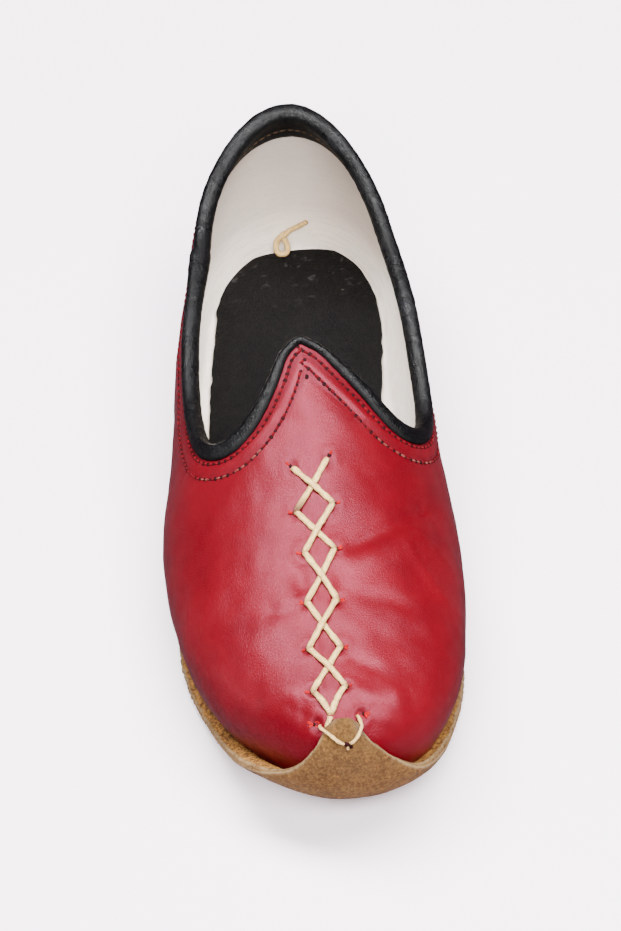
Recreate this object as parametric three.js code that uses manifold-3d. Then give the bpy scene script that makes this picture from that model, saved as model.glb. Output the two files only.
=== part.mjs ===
// Leather slip-on shoe with a turned-up toe tab, right foot, in millimetres.
// While building, x runs to the inner side, u from the heel to the toe and z up.
// At the end the toe points to -Y and the heel to +Y.
import * as THREE from "three";
import Module from "manifold-3d";

const GAP = 0.3;               // clearance between neighbouring pieces
const UPPER_LENGTH = 244;      // heel bulge to the front of the upper
const WALL = 2.2;              // leather and lining together
const HEEL_ROUND = 42;         // length over which the heel rounds off in plan
const HEEL_POWER = 2;
const TOE_ROUND = 63;          // length over which the toe rounds off in plan
const TOE_POWER = 2;
const TIP_ROUND = 21;          // length over which the toe rounds off from the side
const TIP_POWER = 2.5;
const TIP_HEIGHT = 30;         // height of the foremost point of the upper
const LEAN_MID = 26;           // height of the heel bulge
const LEAN_HIGH = 75;
const LEAN_TOP = 5.5;          // how far the heel leans forward at LEAN_HIGH
const LEAN_FOOT = 3;           // how far it tucks in at the sole
const LEAN_LENGTH = 80;        // the lean fades out over this length
const SKEW = 8;                // the inner side of the collar lies further back

const SOLE_THICK = 4.7;
const TAB_THICK = 3.2;
const SOLE_START = 0.5;        // back edge of the sole
const SOLE_END = 271;          // tip of the toe tab, measured along the sole
const SOLE_HEEL_ROUND = 40;
const TAB_END_ROUND = 4;

const INSOLE_THICK = 2.5;
const INSOLE_START = 6.5;
const INSOLE_END = 222;
const INSOLE_HEEL_ROUND = 24;
const INSOLE_TOE_ROUND = 40;

const BINDING_GAP = 0.5;       // the strip keeps this off the wall
const BINDING_THICK = 1.3;
const BINDING_OUTER = 3;       // width of the outer leg
const BINDING_INNER = 8;       // width of the inner leg
const BINDING_PEAK = 1.6;      // both legs at the peak of the vamp
const BINDING_DIP = 4.6;       // the outer leg at the dips beside it
const BINDING_ROLL = 1.6;      // how far the fold stands above the edge

const THREAD_WIDE = 1.9;
const THREAD_HIGH = 1.2;
const THREAD_SIDES = 5;
const TAB_HOLE = 263.5;        // hole in the tab, measured along the sole
const TAB_HOLE_SHARE = 0.16;
const MEET_AT = 231;           // the last threads meet above the tab
const MEET_X = -3;

// One row per section of the upper. at: from the heel. inner, outer: half widths at the
// widest line. crest: where the ridge lies. ridge: its height. seat: height of the lower
// edge. bellyIn, bellyOut: widest line above the seat. tuckIn, tuckOut: how far the lower
// edge lies inside the widest line. full: 2 is an ellipse, more is squarer.
const SECTION_ROWS = [
  { at: 0, inner: 33, outer: 34.5, crest: 0, ridge: 88, seat: 4.9,
    bellyIn: 20, bellyOut: 20, tuckIn: 3.5, tuckOut: 3.5, full: 2.25 },
  { at: 20, inner: 33.6, outer: 35.5, crest: 0, ridge: 85, seat: 4.9,
    bellyIn: 20, bellyOut: 20, tuckIn: 3.5, tuckOut: 3.5, full: 2.25 },
  { at: 42, inner: 35.2, outer: 37, crest: 0, ridge: 82, seat: 5.3,
    bellyIn: 25, bellyOut: 20, tuckIn: 6, tuckOut: 3.5, full: 2.15 },
  { at: 75, inner: 37.2, outer: 42.4, crest: 0, ridge: 81, seat: 6.4,
    bellyIn: 33, bellyOut: 20, tuckIn: 10, tuckOut: 4.5, full: 2.05 },
  { at: 106, inner: 38.6, outer: 45.2, crest: -1.7, ridge: 77, seat: 6.2,
    bellyIn: 29, bellyOut: 20, tuckIn: 9.5, tuckOut: 5.5, full: 1.8 },
  { at: 140, inner: 42, outer: 50.2, crest: -1.8, ridge: 67, seat: 4.8,
    bellyIn: 22, bellyOut: 20, tuckIn: 6.5, tuckOut: 6, full: 1.8 },
  { at: 165, inner: 43.4, outer: 49.9, crest: -1.8, ridge: 60.5, seat: 5.2,
    bellyIn: 20, bellyOut: 20, tuckIn: 5.5, tuckOut: 6, full: 1.95 },
  { at: 190, inner: 42.7, outer: 46.4, crest: -1.8, ridge: 56, seat: 9.6,
    bellyIn: 19, bellyOut: 19, tuckIn: 5, tuckOut: 5.5, full: 2.1 },
  { at: 217, inner: 45.8, outer: 42.5, crest: -1.3, ridge: 52, seat: 17,
    bellyIn: 15, bellyOut: 15, tuckIn: 4.5, tuckOut: 5, full: 2.2 },
  { at: 244, inner: 51.5, outer: 32, crest: 1, ridge: 49.5, seat: 23.5,
    bellyIn: 10, bellyOut: 10, tuckIn: 4, tuckOut: 4, full: 2.2 },
];

// The collar edge from the heel round the dip to the peak. inner, outer: share of the way
// from the widest line to the ridge.
const COLLAR_ROWS = [
  { at: 0, inner: 0.57, outer: 0.57 },
  { at: 10, inner: 0.53, outer: 0.53 },
  { at: 22, inner: 0.46, outer: 0.456 },
  { at: 40, inner: 0.39, outer: 0.4 },
  { at: 62, inner: 0.3, outer: 0.373 },
  { at: 85, inner: 0.225, outer: 0.341 },
  { at: 105, inner: 0.2, outer: 0.35 },
  { at: 119, inner: 0.22, outer: 0.415 },
  { at: 128.5, inner: 0.32, outer: 0.5 },
  { at: 131.8, inner: 0.445, outer: 0.6 },
  { at: 128, inner: 0.57, outer: 0.715 },
  { at: 121.3, inner: 0.675, outer: 0.795 },
  { at: 115, inner: 0.783, outer: 0.853 },
  { at: 109.2, inner: 0.89, outer: 0.908 },
  { at: 107.2, inner: 0.942, outer: 0.948 },
  { at: 105.7, inner: 1, outer: 1 },
];

// The sole laid along its own run, from the heel to the tip of the tab. inner, outer: half
// widths from the middle. middle: x of the middle line. curl: bend across, one over radius.
// loose: how far the sheet stands off the upper.
const SOLE_ROWS = [
  { at: 0, inner: 28.6, outer: 31.5, middle: 0, curl: 0, loose: 0.3 },
  { at: 40, inner: 30.4, outer: 34.8, middle: 0, curl: 0, loose: 0.3 },
  { at: 75, inner: 29, outer: 39, middle: 0, curl: 0, loose: 0.3 },
  { at: 106, inner: 31, outer: 41, middle: 0, curl: 0, loose: 0.3 },
  { at: 140, inner: 36.8, outer: 45.6, middle: 0, curl: 0, loose: 0.3 },
  { at: 165, inner: 39, outer: 47.2, middle: 0, curl: 0, loose: 0.3 },
  { at: 187, inner: 39, outer: 44.4, middle: 0, curl: 0, loose: 0.3 },
  { at: 207, inner: 36.2, outer: 39, middle: 0.3, curl: 0.002, loose: 0.5 },
  { at: 227, inner: 30.2, outer: 32.8, middle: 1.3, curl: 0.011, loose: 1.3 },
  { at: 236, inner: 25.4, outer: 28.6, middle: 2.2, curl: 0.019, loose: 2 },
  { at: 242, inner: 21.6, outer: 24.4, middle: 2.8, curl: 0.027, loose: 2.4 },
  { at: 246, inner: 18.2, outer: 20, middle: 3, curl: 0.035, loose: 2.5 },
  { at: 250, inner: 15.6, outer: 16.4, middle: 2.9, curl: 0.04, loose: 2.3 },
  { at: 255, inner: 12.8, outer: 13, middle: 2.4, curl: 0.04, loose: 1.5 },
  { at: 261, inner: 9, outer: 8.8, middle: 1.5, curl: 0.033, loose: 0.6 },
  { at: 267, inner: 5.9, outer: 6, middle: 0.8, curl: 0.03, loose: 0.4 },
  { at: 271, inner: 4.4, outer: 4.4, middle: 0.4, curl: 0.03, loose: 0.3 },
];

const INSOLE_ROWS = [
  { at: 0, inner: 25, outer: 26 },
  { at: 40, inner: 26, outer: 29.2 },
  { at: 60, inner: 24.4, outer: 31.4 },
  { at: 79, inner: 23, outer: 33.4 },
  { at: 106, inner: 25.4, outer: 35.5 },
  { at: 140, inner: 31, outer: 39 },
  { at: 165, inner: 34, outer: 39.6 },
  { at: 190, inner: 33.6, outer: 37 },
  { at: 222, inner: 31, outer: 29 },
];

// Pairs of holes along the vamp for the cross stitches.
const HOLE_ROWS = [
  { outerAt: 147.1, outerX: -7.3, innerAt: 145.6, innerX: 3.8 },
  { outerAt: 162, outerX: -7.4, innerAt: 160.7, innerX: 4.4 },
  { outerAt: 176.5, outerX: -5.8, innerAt: 176.2, innerX: 3.6 },
  { outerAt: 193.8, outerX: -6.4, innerAt: 193.8, innerX: 2.9 },
  { outerAt: 210.1, outerX: -7, innerAt: 210.6, innerX: 2.8 },
  { outerAt: 225.3, outerX: -6.8, innerAt: 224.6, innerX: 3.2 },
  { outerAt: 235.2, outerX: -6.6, innerAt: 233.8, innerX: 7.2 },
];

// Small vector helpers on [x, u, z].
const add = (a, b, k = 1) => [a[0] + k * b[0], a[1] + k * b[1], a[2] + k * b[2]];
const dot = (a, b) => a[0] * b[0] + a[1] * b[1] + a[2] * b[2];
const cross = (a, b) => [
  a[1] * b[2] - a[2] * b[1],
  a[2] * b[0] - a[0] * b[2],
  a[0] * b[1] - a[1] * b[0],
];
const unit = (a) => {
  const length = Math.hypot(...a) || 1;
  return [a[0] / length, a[1] / length, a[2] / length];
};
const mix = (a, b, t) => a + (b - a) * t;
const clamp = (v, low, high) => Math.min(Math.max(v, low), high);
const steps = (from, to, count) =>
  Array.from({ length: count + 1 }, (_, i) => mix(from, to, i / count));

// Natural cubic curve through the knots, straight beyond its ends.
function curveThrough(xs, ys) {
  const n = xs.length;
  const bend = new Array(n).fill(0);
  const low = new Array(n).fill(0);
  for (let i = 1; i < n - 1; i += 1) {
    const part = (xs[i] - xs[i - 1]) / (xs[i + 1] - xs[i - 1]);
    const p = part * bend[i - 1] + 2;
    bend[i] = (part - 1) / p;
    const turn = (ys[i + 1] - ys[i]) / (xs[i + 1] - xs[i]) - (ys[i] - ys[i - 1]) / (xs[i] - xs[i - 1]);
    low[i] = ((6 * turn) / (xs[i + 1] - xs[i - 1]) - part * low[i - 1]) / p;
  }
  for (let i = n - 2; i > 0; i -= 1) bend[i] = bend[i] * bend[i + 1] + low[i];
  return (x) => {
    const at = clamp(x, xs[0], xs[n - 1]);
    let k = 1;
    while (k < n - 1 && xs[k] < at) k += 1;
    const h = xs[k] - xs[k - 1];
    const a = (xs[k] - at) / h;
    const b = 1 - a;
    const cubic = ((a ** 3 - a) * bend[k - 1] + (b ** 3 - b) * bend[k]) * h * h / 6;
    return a * ys[k - 1] + b * ys[k] + cubic;
  };
}

function columnsOf(rows) {
  const at = rows.map((row) => row.at);
  const columns = {};
  for (const name of Object.keys(rows[0])) {
    if (name !== "at") columns[name] = curveThrough(at, rows.map((row) => row[name]));
  }
  return columns;
}

const closing = (t, power) => Math.max(1 - clamp(t, 0, 1) ** power, 0) ** (1 / power);

// The upper's outer face.
const sectionColumns = columnsOf(SECTION_ROWS);

function sectionAt(u, side) {
  const value = (name) => sectionColumns[name](u);
  const crest = value("crest");
  const edge = side > 0 ? value("inner") : -value("outer");
  const shrink = closing(1 - u / HEEL_ROUND, HEEL_POWER)
    * closing((u - UPPER_LENGTH + TOE_ROUND) / TOE_ROUND, TOE_POWER);
  const tip = closing((u - UPPER_LENGTH + TIP_ROUND) / TIP_ROUND, TIP_POWER);
  const seat = value("seat");
  const belly = seat + value(side > 0 ? "bellyIn" : "bellyOut");
  return {
    crest,
    half: (edge - crest) * shrink,
    tuck: value(side > 0 ? "tuckIn" : "tuckOut") * shrink * side,
    seat: mix(TIP_HEIGHT, seat, tip),
    belly: mix(TIP_HEIGHT, belly, tip),
    ridge: mix(TIP_HEIGHT, value("ridge"), tip),
    power: 2 / value("full"),
  };
}

function leanAt(u, z) {
  const fade = clamp(1 - u / LEAN_LENGTH, 0, 1) ** 2;
  const above = Math.max((z - LEAN_MID) / (LEAN_HIGH - LEAN_MID), 0);
  const below = Math.max((LEAN_MID - z) / LEAN_MID, 0);
  return fade * (LEAN_TOP * above ** 2 + LEAN_FOOT * below ** 2);
}

// turn: 0 at the heel, PI at the toe. rise: -1 lower edge, 0 widest line, 1 ridge.
const stationOf = (turn) => UPPER_LENGTH * (1 - Math.cos(turn)) / 2;
const turnOf = (u) => Math.acos(clamp(1 - 2 * u / UPPER_LENGTH, -1, 1));

function outerPoint(turn, side, rise) {
  if (turn < 0) return outerPoint(-turn, -side, rise);
  if (rise > 1) return outerPoint(turn, -side, 2 - rise);
  const back = side > 0 ? SKEW * (1 - Math.min(Math.abs(rise), 1)) * Math.sin(turn) ** 2 : 0;
  const u = stationOf(Math.min(turn, Math.PI)) - back;
  const s = sectionAt(u, side);
  const angle = Math.max(rise, 0) * Math.PI / 2;
  const low = Math.max(-rise, 0);
  const across = Math.max(Math.cos(angle), 0) ** s.power;
  const up = Math.sin(angle) ** s.power;
  const x = s.crest + s.half * across - s.tuck * low * low;
  const z = rise < 0 ? mix(s.belly, s.seat, low) : mix(s.belly, s.ridge, up);
  return [x, u + leanAt(u, z), z];
}

function outerNormal(turn, side, rise) {
  if (turn > Math.PI - 0.01) return [0, 1, 0];
  const step = 0.01;
  const along = add(outerPoint(turn + step, side, rise), outerPoint(turn - step, side, rise), -1);
  let around = add(outerPoint(turn, side, rise + step), outerPoint(turn, side, rise - step), -1);
  if (rise > 0.999) around = [1, 0, 0];
  const normal = unit(cross(along, around));
  const here = outerPoint(turn, side, rise);
  const centre = [0, clamp(here[1], 60, 200), 32];
  return dot(normal, add(here, centre, -1)) > 0 ? normal : add([0, 0, 0], normal, -1);
}

const shifted = (turn, side, rise, out) =>
  add(outerPoint(turn, side, rise), outerNormal(turn, side, rise), out);

// The collar edge as one smooth line per side, on a shared measure.
function collarLines() {
  const rows = COLLAR_ROWS.map((row) => ({ turn: turnOf(row.at), inner: row.inner, outer: row.outer }));
  const last = rows[rows.length - 2];
  const first = rows[1];
  rows.unshift({ ...first, turn: -first.turn });
  rows.push({ turn: last.turn, inner: 2 - last.inner, outer: 2 - last.outer });
  const run = [0];
  for (let i = 1; i < rows.length; i += 1) {
    let length = 0;
    for (const [side, name] of [[1, "inner"], [-1, "outer"]]) {
      const from = outerPoint(rows[i - 1].turn, side, rows[i - 1][name]);
      const to = outerPoint(rows[i].turn, side, rows[i][name]);
      length += Math.hypot(...add(to, from, -1)) / 2;
    }
    run.push(run[i - 1] + length);
  }
  const turn = curveThrough(run, rows.map((row) => row.turn));
  const inner = curveThrough(run, rows.map((row) => row.inner));
  const outer = curveThrough(run, rows.map((row) => row.outer));
  const heel = run[1];
  const peak = run[run.length - 2];
  let dip = heel;
  for (const s of steps(heel, peak, 2000)) if (turn(s) > turn(dip)) dip = s;
  return { turn, rise: (side, s) => (side > 0 ? inner : outer)(s), heel, dip, peak };
}
const collar = collarLines();

function measureAt(turn, from, to) {
  let low = from;
  let high = to;
  const rising = collar.turn(to) > collar.turn(from);
  for (let i = 0; i < 50; i += 1) {
    const mid = (low + high) / 2;
    if ((collar.turn(mid) < turn) === rising) low = mid;
    else high = mid;
  }
  return (low + high) / 2;
}

// Collects points and faces into one closed, outward-facing solid.
class Skin {
  constructor() {
    this.points = [];
    this.faces = [];
    this.seen = new Map();
  }

  point(p) {
    const key = p.map((v) => Math.round(v * 1000)).join(",");
    if (!this.seen.has(key)) {
      this.seen.set(key, this.points.length);
      this.points.push(p);
    }
    return this.seen.get(key);
  }

  face(a, b, c) {
    if (a !== b && b !== c && a !== c) this.faces.push([a, b, c]);
  }

  quad(a, b, c, d) {
    this.face(a, b, c);
    this.face(a, c, d);
  }

  // A grid of points, flipped when asked.
  grid(rows, flip) {
    const ids = rows.map((row) => row.map((p) => this.point(p)));
    for (let i = 0; i + 1 < ids.length; i += 1) {
      for (let j = 0; j + 1 < ids[i].length; j += 1) {
        const ring = [ids[i][j], ids[i + 1][j], ids[i + 1][j + 1], ids[i][j + 1]];
        if (flip) ring.reverse();
        this.quad(...ring);
      }
    }
  }

  solid(wasm) {
    let volume = 0;
    for (const f of this.faces) {
      const [a, b, c] = f.map((i) => this.points[i]);
      volume += dot(a, cross(b, c));
    }
    const faces = volume < 0 ? this.faces.map((f) => [f[0], f[2], f[1]]) : this.faces;
    return new wasm.Manifold(new wasm.Mesh({
      numProp: 3,
      vertProperties: Float32Array.from(this.points.flat()),
      triVerts: Uint32Array.from(faces.flat()),
    }));
  }
}

const wasm = await Module();
wasm.setup();

// Upper: quarters, flap and vamp on each side, with the wall turned inwards.
function wallPair(turn, side, rise) {
  const out = outerPoint(turn, side, rise);
  const inside = shifted(turn, side, rise, -WALL);
  if (rise <= -1) inside[2] = out[2];
  return [out, inside];
}

function makeUpper() {
  const skin = new Skin();
  const lowRises = steps(-1, 0, 3);
  const easeOut = (count) => steps(0, 1, count).map((t) => 1 - (1 - t) ** 1.8);
  const dipTurn = collar.turn(collar.dip);
  const peakTurn = collar.turn(collar.peak);
  for (const side of [1, -1]) {
    const dipRise = collar.rise(side, collar.dip);
    const edges = [];
    const feather = [];
    const lay = (columns) => {
      const pairs = columns.map(([turn, rises]) => rises.map((rise) => wallPair(turn, side, rise)));
      skin.grid(pairs.map((row) => row.map((pair) => pair[0])), side < 0);
      skin.grid(pairs.map((row) => row.map((pair) => pair[1])), side > 0);
      return pairs;
    };
    const quarter = lay(easeOut(18).map((t) => {
      const turn = dipTurn * t;
      const edge = t === 1 ? dipRise : collar.rise(side, measureAt(turn, collar.heel, collar.dip));
      return [turn, [...lowRises, ...steps(0, edge, 4).slice(1)]];
    }));
    const flap = lay(easeOut(9).map((t) => {
      const turn = mix(peakTurn, dipTurn, t);
      let edge = collar.rise(side, measureAt(turn, collar.peak, collar.dip));
      if (t === 0) edge = 1;
      if (t === 1) edge = dipRise;
      return [turn, steps(edge, 1, 5)];
    }));
    const vamp = lay(steps(0, 1, 20).map((t) => {
      const turn = mix(dipTurn, Math.PI, t);
      return [turn, [...lowRises, ...steps(0, dipRise, 4).slice(1), ...steps(dipRise, 1, 5).slice(1)]];
    }));
    for (const column of quarter) edges.push(column[column.length - 1]);
    for (const column of [...flap].reverse().slice(1)) edges.push(column[0]);
    for (const column of [...quarter, ...vamp.slice(1)]) feather.push(column[0]);
    skin.grid(edges, side < 0);
    skin.grid(feather, side > 0);
  }
  return skin.solid(wasm);
}

// A closed block along the upper's face, moved out or in. The grown one clears the sole, and
// the shrunk one, carried on below the lower edge, keeps the insole off the wall.
function makeBlock(out, lowRise) {
  const skin = new Skin();
  const turns = steps(0, Math.PI, 44);
  const rises = [...steps(lowRise, 0, 4), ...steps(0, 1, 9).slice(1)];
  const lowest = [];
  for (const side of [1, -1]) {
    const rows = turns.map((turn) => rises.map((rise) => shifted(turn, side, rise, out)));
    skin.grid(rows, side < 0);
    lowest.push(rows.map((row) => row[0]));
  }
  skin.grid(turns.map((_, i) => [lowest[0][i], lowest[1][i]]), true);
  return skin.solid(wasm);
}

// Sole: a sheet along the underside of the upper, round the toe and up as the tab.
const soleColumns = columnsOf(SOLE_ROWS);

function soleLine() {
  const turns = steps(0, Math.PI, 400);
  const under = turns.map((turn) => sectionAt(stationOf(turn), 1).seat);
  const path = turns.map((turn, i) => [stationOf(turn), under[i]]);
  for (const turn of steps(Math.PI, turnOf(224), 80).slice(1)) {
    const u = stationOf(turn);
    path.push([u, sectionAt(u, 1).ridge]);
  }
  const run = [0];
  for (let i = 1; i < path.length; i += 1) {
    run.push(run[i - 1] + Math.hypot(path[i][0] - path[i - 1][0], path[i][1] - path[i - 1][1]));
  }
  const spots = steps(0, Math.min(run[run.length - 1], SOLE_END + 2), 70);
  const pick = (s, part) => {
    let k = 1;
    while (k < run.length - 1 && run[k] < s) k += 1;
    return mix(path[k - 1][part], path[k][part], (s - run[k - 1]) / (run[k] - run[k - 1]));
  };
  return [0, 1].map((part) => curveThrough(spots, spots.map((s) => pick(s, part))));
}
const [soleU, soleZ] = soleLine();

function solePoint(run, share) {
  const step = 0.5;
  const tu = soleU(run + step) - soleU(run - step);
  const tz = soleZ(run + step) - soleZ(run - step);
  const length = Math.hypot(tu, tz);
  const inward = [-tz / length, tu / length];
  const ends = closing(1 - (run - SOLE_START) / SOLE_HEEL_ROUND, 2.1)
    * closing((run - SOLE_END + TAB_END_ROUND) / TAB_END_ROUND, 2.4);
  const half = soleColumns[share > 0 ? "inner" : "outer"](run) * ends;
  const off = share * half;
  const sag = soleColumns.curl(run) * off * off / 2 - soleColumns.loose(run);
  return [
    soleColumns.middle(run) + off,
    soleU(run) + inward[0] * sag,
    soleZ(run) + inward[1] * sag,
  ];
}

const soleThick = (run) => mix(SOLE_THICK, TAB_THICK, clamp((run - 228) / 26, 0, 1));

function soleOutward(run, share) {
  const side = add(solePoint(run, Math.min(share + 0.05, 1)), solePoint(run, Math.max(share - 0.05, -1)), -1);
  const closed = run < SOLE_START + 3 || Math.hypot(...side) < 0.01;
  const spot = closed ? 0 : share;
  const along = add(solePoint(run + 0.4, spot), solePoint(run - 0.4, spot), -1);
  return unit(cross(along, closed ? [1, 0, 0] : side));
}

function soleUnder(run, share) {
  let out = soleOutward(run, share);
  if (run < 120 && out[2] > 0) out = add([0, 0, 0], out, -1);
  const p = add(solePoint(run, share), out, soleThick(run));
  p[2] = Math.max(p[2], 0);
  return p;
}

function makeOutsole() {
  const skin = new Skin();
  const ease = (t) => (1 - Math.cos(Math.PI * t)) / 2;
  const runs = [
    ...steps(0, 0.5, 9).map((t) => SOLE_START + SOLE_HEEL_ROUND * 2 * ease(t)),
    ...steps(SOLE_START + SOLE_HEEL_ROUND, 225, 20).slice(1),
    ...steps(225, SOLE_END - TAB_END_ROUND, 17).slice(1),
    ...steps(0, 1, 4).slice(1).map((t) => SOLE_END - TAB_END_ROUND * (1 - t) ** 1.8),
  ];
  const shares = steps(-1, 1, 10);
  const top = runs.map((run) => shares.map((share) => solePoint(run, share)));
  const under = runs.map((run) => shares.map((share) => soleUnder(run, share)));
  skin.grid(top, false);
  skin.grid(under, true);
  skin.grid(runs.map((_, i) => [under[i][0], top[i][0]]), false);
  skin.grid(runs.map((_, i) => [top[i][10], under[i][10]]), false);
  return skin.solid(wasm).subtract(makeBlock(GAP, -1));
}

// Insole lying on the sole.
function makeInsole() {
  const skin = new Skin();
  const columns = columnsOf(INSOLE_ROWS);
  const ease = (t) => (1 - Math.cos(Math.PI * t)) / 2;
  const stations = steps(0, 1, 28).map((t) => mix(INSOLE_START, INSOLE_END, ease(t)));
  const shares = steps(-1, 1, 4);
  const lay = (lift) => stations.map((u) => shares.map((share) => {
    const ends = closing(1 - (u - INSOLE_START) / INSOLE_HEEL_ROUND, 2.5)
      * closing((u - INSOLE_END + INSOLE_TOE_ROUND) / INSOLE_TOE_ROUND, 2.2);
    const x = share * columns[share > 0 ? "inner" : "outer"](u) * ends;
    return [x, u, sectionAt(u, 1).seat + lift];
  }));
  const top = lay(INSOLE_THICK + GAP);
  const under = lay(GAP);
  skin.grid(top, false);
  skin.grid(under, true);
  skin.grid(stations.map((_, i) => [under[i][0], top[i][0]]), false);
  skin.grid(stations.map((_, i) => [top[i][4], under[i][4]]), false);
  return skin.solid(wasm).intersect(makeBlock(-WALL - GAP, -1.4));
}

// Binding: a folded strip swept along the collar edge.
function collarFrame(side, s) {
  const at = (v) => [collar.turn(v), collar.rise(side, v)];
  const [turn, rise] = at(s);
  const [turnA, riseA] = at(s - 0.4);
  const [turnB, riseB] = at(s + 0.4);
  const ahead = unit(add(outerPoint(turnB, side, riseB), outerPoint(turnA, side, riseA), -1));
  const normal = outerNormal(turn, side, rise);
  const down = unit(cross(ahead, normal));
  const step = 0.01;
  const byTurn = add(outerPoint(turn + step, side, rise), outerPoint(turn - step, side, rise), -1);
  const byRise = add(outerPoint(turn, side, rise + step), outerPoint(turn, side, rise - step), -1);
  const away = add([0, 0, 0], down, side);
  const tt = dot(byTurn, byTurn);
  const rr = dot(byRise, byRise);
  const tr = dot(byTurn, byRise);
  const ta = dot(byTurn, away);
  const ra = dot(byRise, away);
  const whole = tt * rr - tr * tr;
  const turnStep = (ta * rr - ra * tr) / whole * 2 * step;
  const riseStep = (ra * tt - ta * tr) / whole * 2 * step;
  return (depth, out) => {
    if (depth <= 0) return add(add(outerPoint(turn, side, rise), away, depth), normal, out);
    return shifted(turn + turnStep * depth, side, rise + riseStep * depth, out);
  };
}

function makeBinding() {
  const skin = new Skin();
  const section = (frame, outerLeg, innerLeg) => {
    const face = BINDING_GAP + BINDING_THICK;
    const back = -WALL - BINDING_GAP;
    return [
      frame(outerLeg, BINDING_GAP),
      frame(outerLeg, BINDING_GAP + BINDING_THICK * 0.55),
      frame(outerLeg * 0.55, face),
      frame(0.01, face),
      frame(-BINDING_ROLL * 0.75, face * 0.35),
      frame(-BINDING_ROLL, -WALL / 2),
      frame(-BINDING_ROLL * 0.75, -WALL - face * 0.35),
      frame(0.01, -WALL - face),
      frame(innerLeg * 0.55, -WALL - face),
      frame(innerLeg, back - BINDING_THICK * 0.55),
      frame(innerLeg, back),
      frame(innerLeg * 0.5, back),
      frame(-BINDING_GAP, back),
      frame(-BINDING_GAP, BINDING_GAP),
      frame(outerLeg * 0.5, BINDING_GAP),
    ];
  };
  const rings = [];
  const spots = [
    ...steps(0, Math.PI, 27).map((t) => mix(collar.heel, collar.dip, (1 - Math.cos(t)) / 2)),
    ...steps(collar.dip, collar.peak, 19).slice(1),
  ];
  const branch = (side) => spots.map((s) => {
    const nearPeak = clamp((collar.peak - s) / 26, 0, 1);
    const ease = nearPeak * nearPeak * (3 - 2 * nearPeak);
    const nearDip = Math.exp(-(((s - collar.dip) / 13) ** 2));
    return section(
      collarFrame(side, s),
      mix(mix(BINDING_PEAK, BINDING_OUTER, ease), BINDING_DIP, nearDip),
      mix(BINDING_PEAK, BINDING_INNER, ease),
    );
  });
  rings.push(...branch(1), ...branch(-1).reverse().slice(1, -1));
  rings.push(rings[0]);
  skin.grid(rings.map((ring) => [...ring, ring[0]]), false);
  return skin.solid(wasm);
}

// Cross stitches: flat thread laid over the vamp, joined at crossings and holes.
function vampSpot(u, x, lift) {
  const turn = turnOf(u);
  const s = sectionAt(u, x > sectionAt(u, 1).crest ? 1 : -1);
  const side = x > s.crest ? 1 : -1;
  const share = clamp((x - s.crest) / s.half, 0, 1);
  const rise = Math.acos(share ** (1 / s.power)) * 2 / Math.PI;
  return { at: shifted(turn, side, rise, lift), normal: outerNormal(turn, side, rise) };
}

function threadAlong(path) {
  const skin = new Skin();
  const rings = path.map((spot, i) => {
    const from = path[Math.max(i - 1, 0)].at;
    const to = path[Math.min(i + 1, path.length - 1)].at;
    const ahead = unit(add(to, from, -1));
    const across = unit(cross(ahead, spot.normal));
    const up = cross(across, ahead);
    return steps(0, 1, THREAD_SIDES).map((t) => {
      const angle = t * 2 * Math.PI;
      const flat = add(spot.at, across, Math.cos(angle) * THREAD_WIDE / 2);
      return add(flat, up, Math.sin(angle) * THREAD_HIGH / 2);
    });
  });
  skin.grid(rings, false);
  for (const [ring, end, flip] of [[rings[0], path[0].at, true], [rings[rings.length - 1], path[path.length - 1].at, false]]) {
    skin.grid([ring, ring.map(() => end)], flip);
  }
  return skin.solid(wasm);
}

function tabSpot(run, share, over) {
  const out = soleOutward(run, clamp(share, -0.9, 0.9));
  return { at: add(solePoint(run, share), out, over), normal: out };
}

function makeLacing() {
  const lift = GAP + THREAD_HIGH / 2 + 0.05;
  const bars = [];
  const bar = (uA, xA, uB, xB) => {
    const spots = steps(-0.06, 1.06, 4).map((t) => vampSpot(mix(uA, uB, t), mix(xA, xB, t), lift));
    bars.push(threadAlong(spots));
  };
  const pairs = HOLE_ROWS.slice(0, -1);
  for (let i = 0; i + 1 < pairs.length; i += 1) {
    const a = pairs[i];
    const b = pairs[i + 1];
    bar(a.outerAt, a.outerX, b.innerAt, b.innerX);
    bar(a.innerAt, a.innerX, b.outerAt, b.outerX);
  }
  const last = pairs[pairs.length - 1];
  const tie = HOLE_ROWS[HOLE_ROWS.length - 1];
  bar(last.innerAt, last.innerX, MEET_AT, MEET_X);
  bar(last.outerAt, last.outerX, MEET_AT, MEET_X);
  bar(MEET_AT, MEET_X, tie.outerAt, tie.outerX);
  const over = TAB_THICK + GAP + THREAD_HIGH / 2 + 0.2;
  const hole = tabSpot(TAB_HOLE, TAB_HOLE_SHARE, over);
  for (const [u, x, share] of [[tie.outerAt, tie.outerX, -1], [tie.innerAt, tie.innerX, 1]]) {
    const start = vampSpot(u, x, lift);
    const rim = tabSpot(TAB_HOLE + 4, share * 1.15, over);
    const face = tabSpot(TAB_HOLE + 2.2, share * 0.6, over);
    bars.push(threadAlong([start, rim, face, hole]));
  }
  return bars.reduce((all, next) => all.add(next));
}

// Hand the solids over as named meshes, centred on the floor.
const solids = {
  upper: makeUpper(),
  outsole: makeOutsole(),
  collar_binding: makeBinding(),
  insole: makeInsole(),
  vamp_lacing: makeLacing(),
};

const looks = {
  upper: { color: 0xa81c26, roughness: 0.5 },
  outsole: { color: 0xa07d4b, roughness: 0.9 },
  collar_binding: { color: 0x1d1c1f, roughness: 0.5 },
  insole: { color: 0x2a282a, roughness: 0.85 },
  vamp_lacing: { color: 0xf0dcaa, roughness: 0.7 },
};

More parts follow.
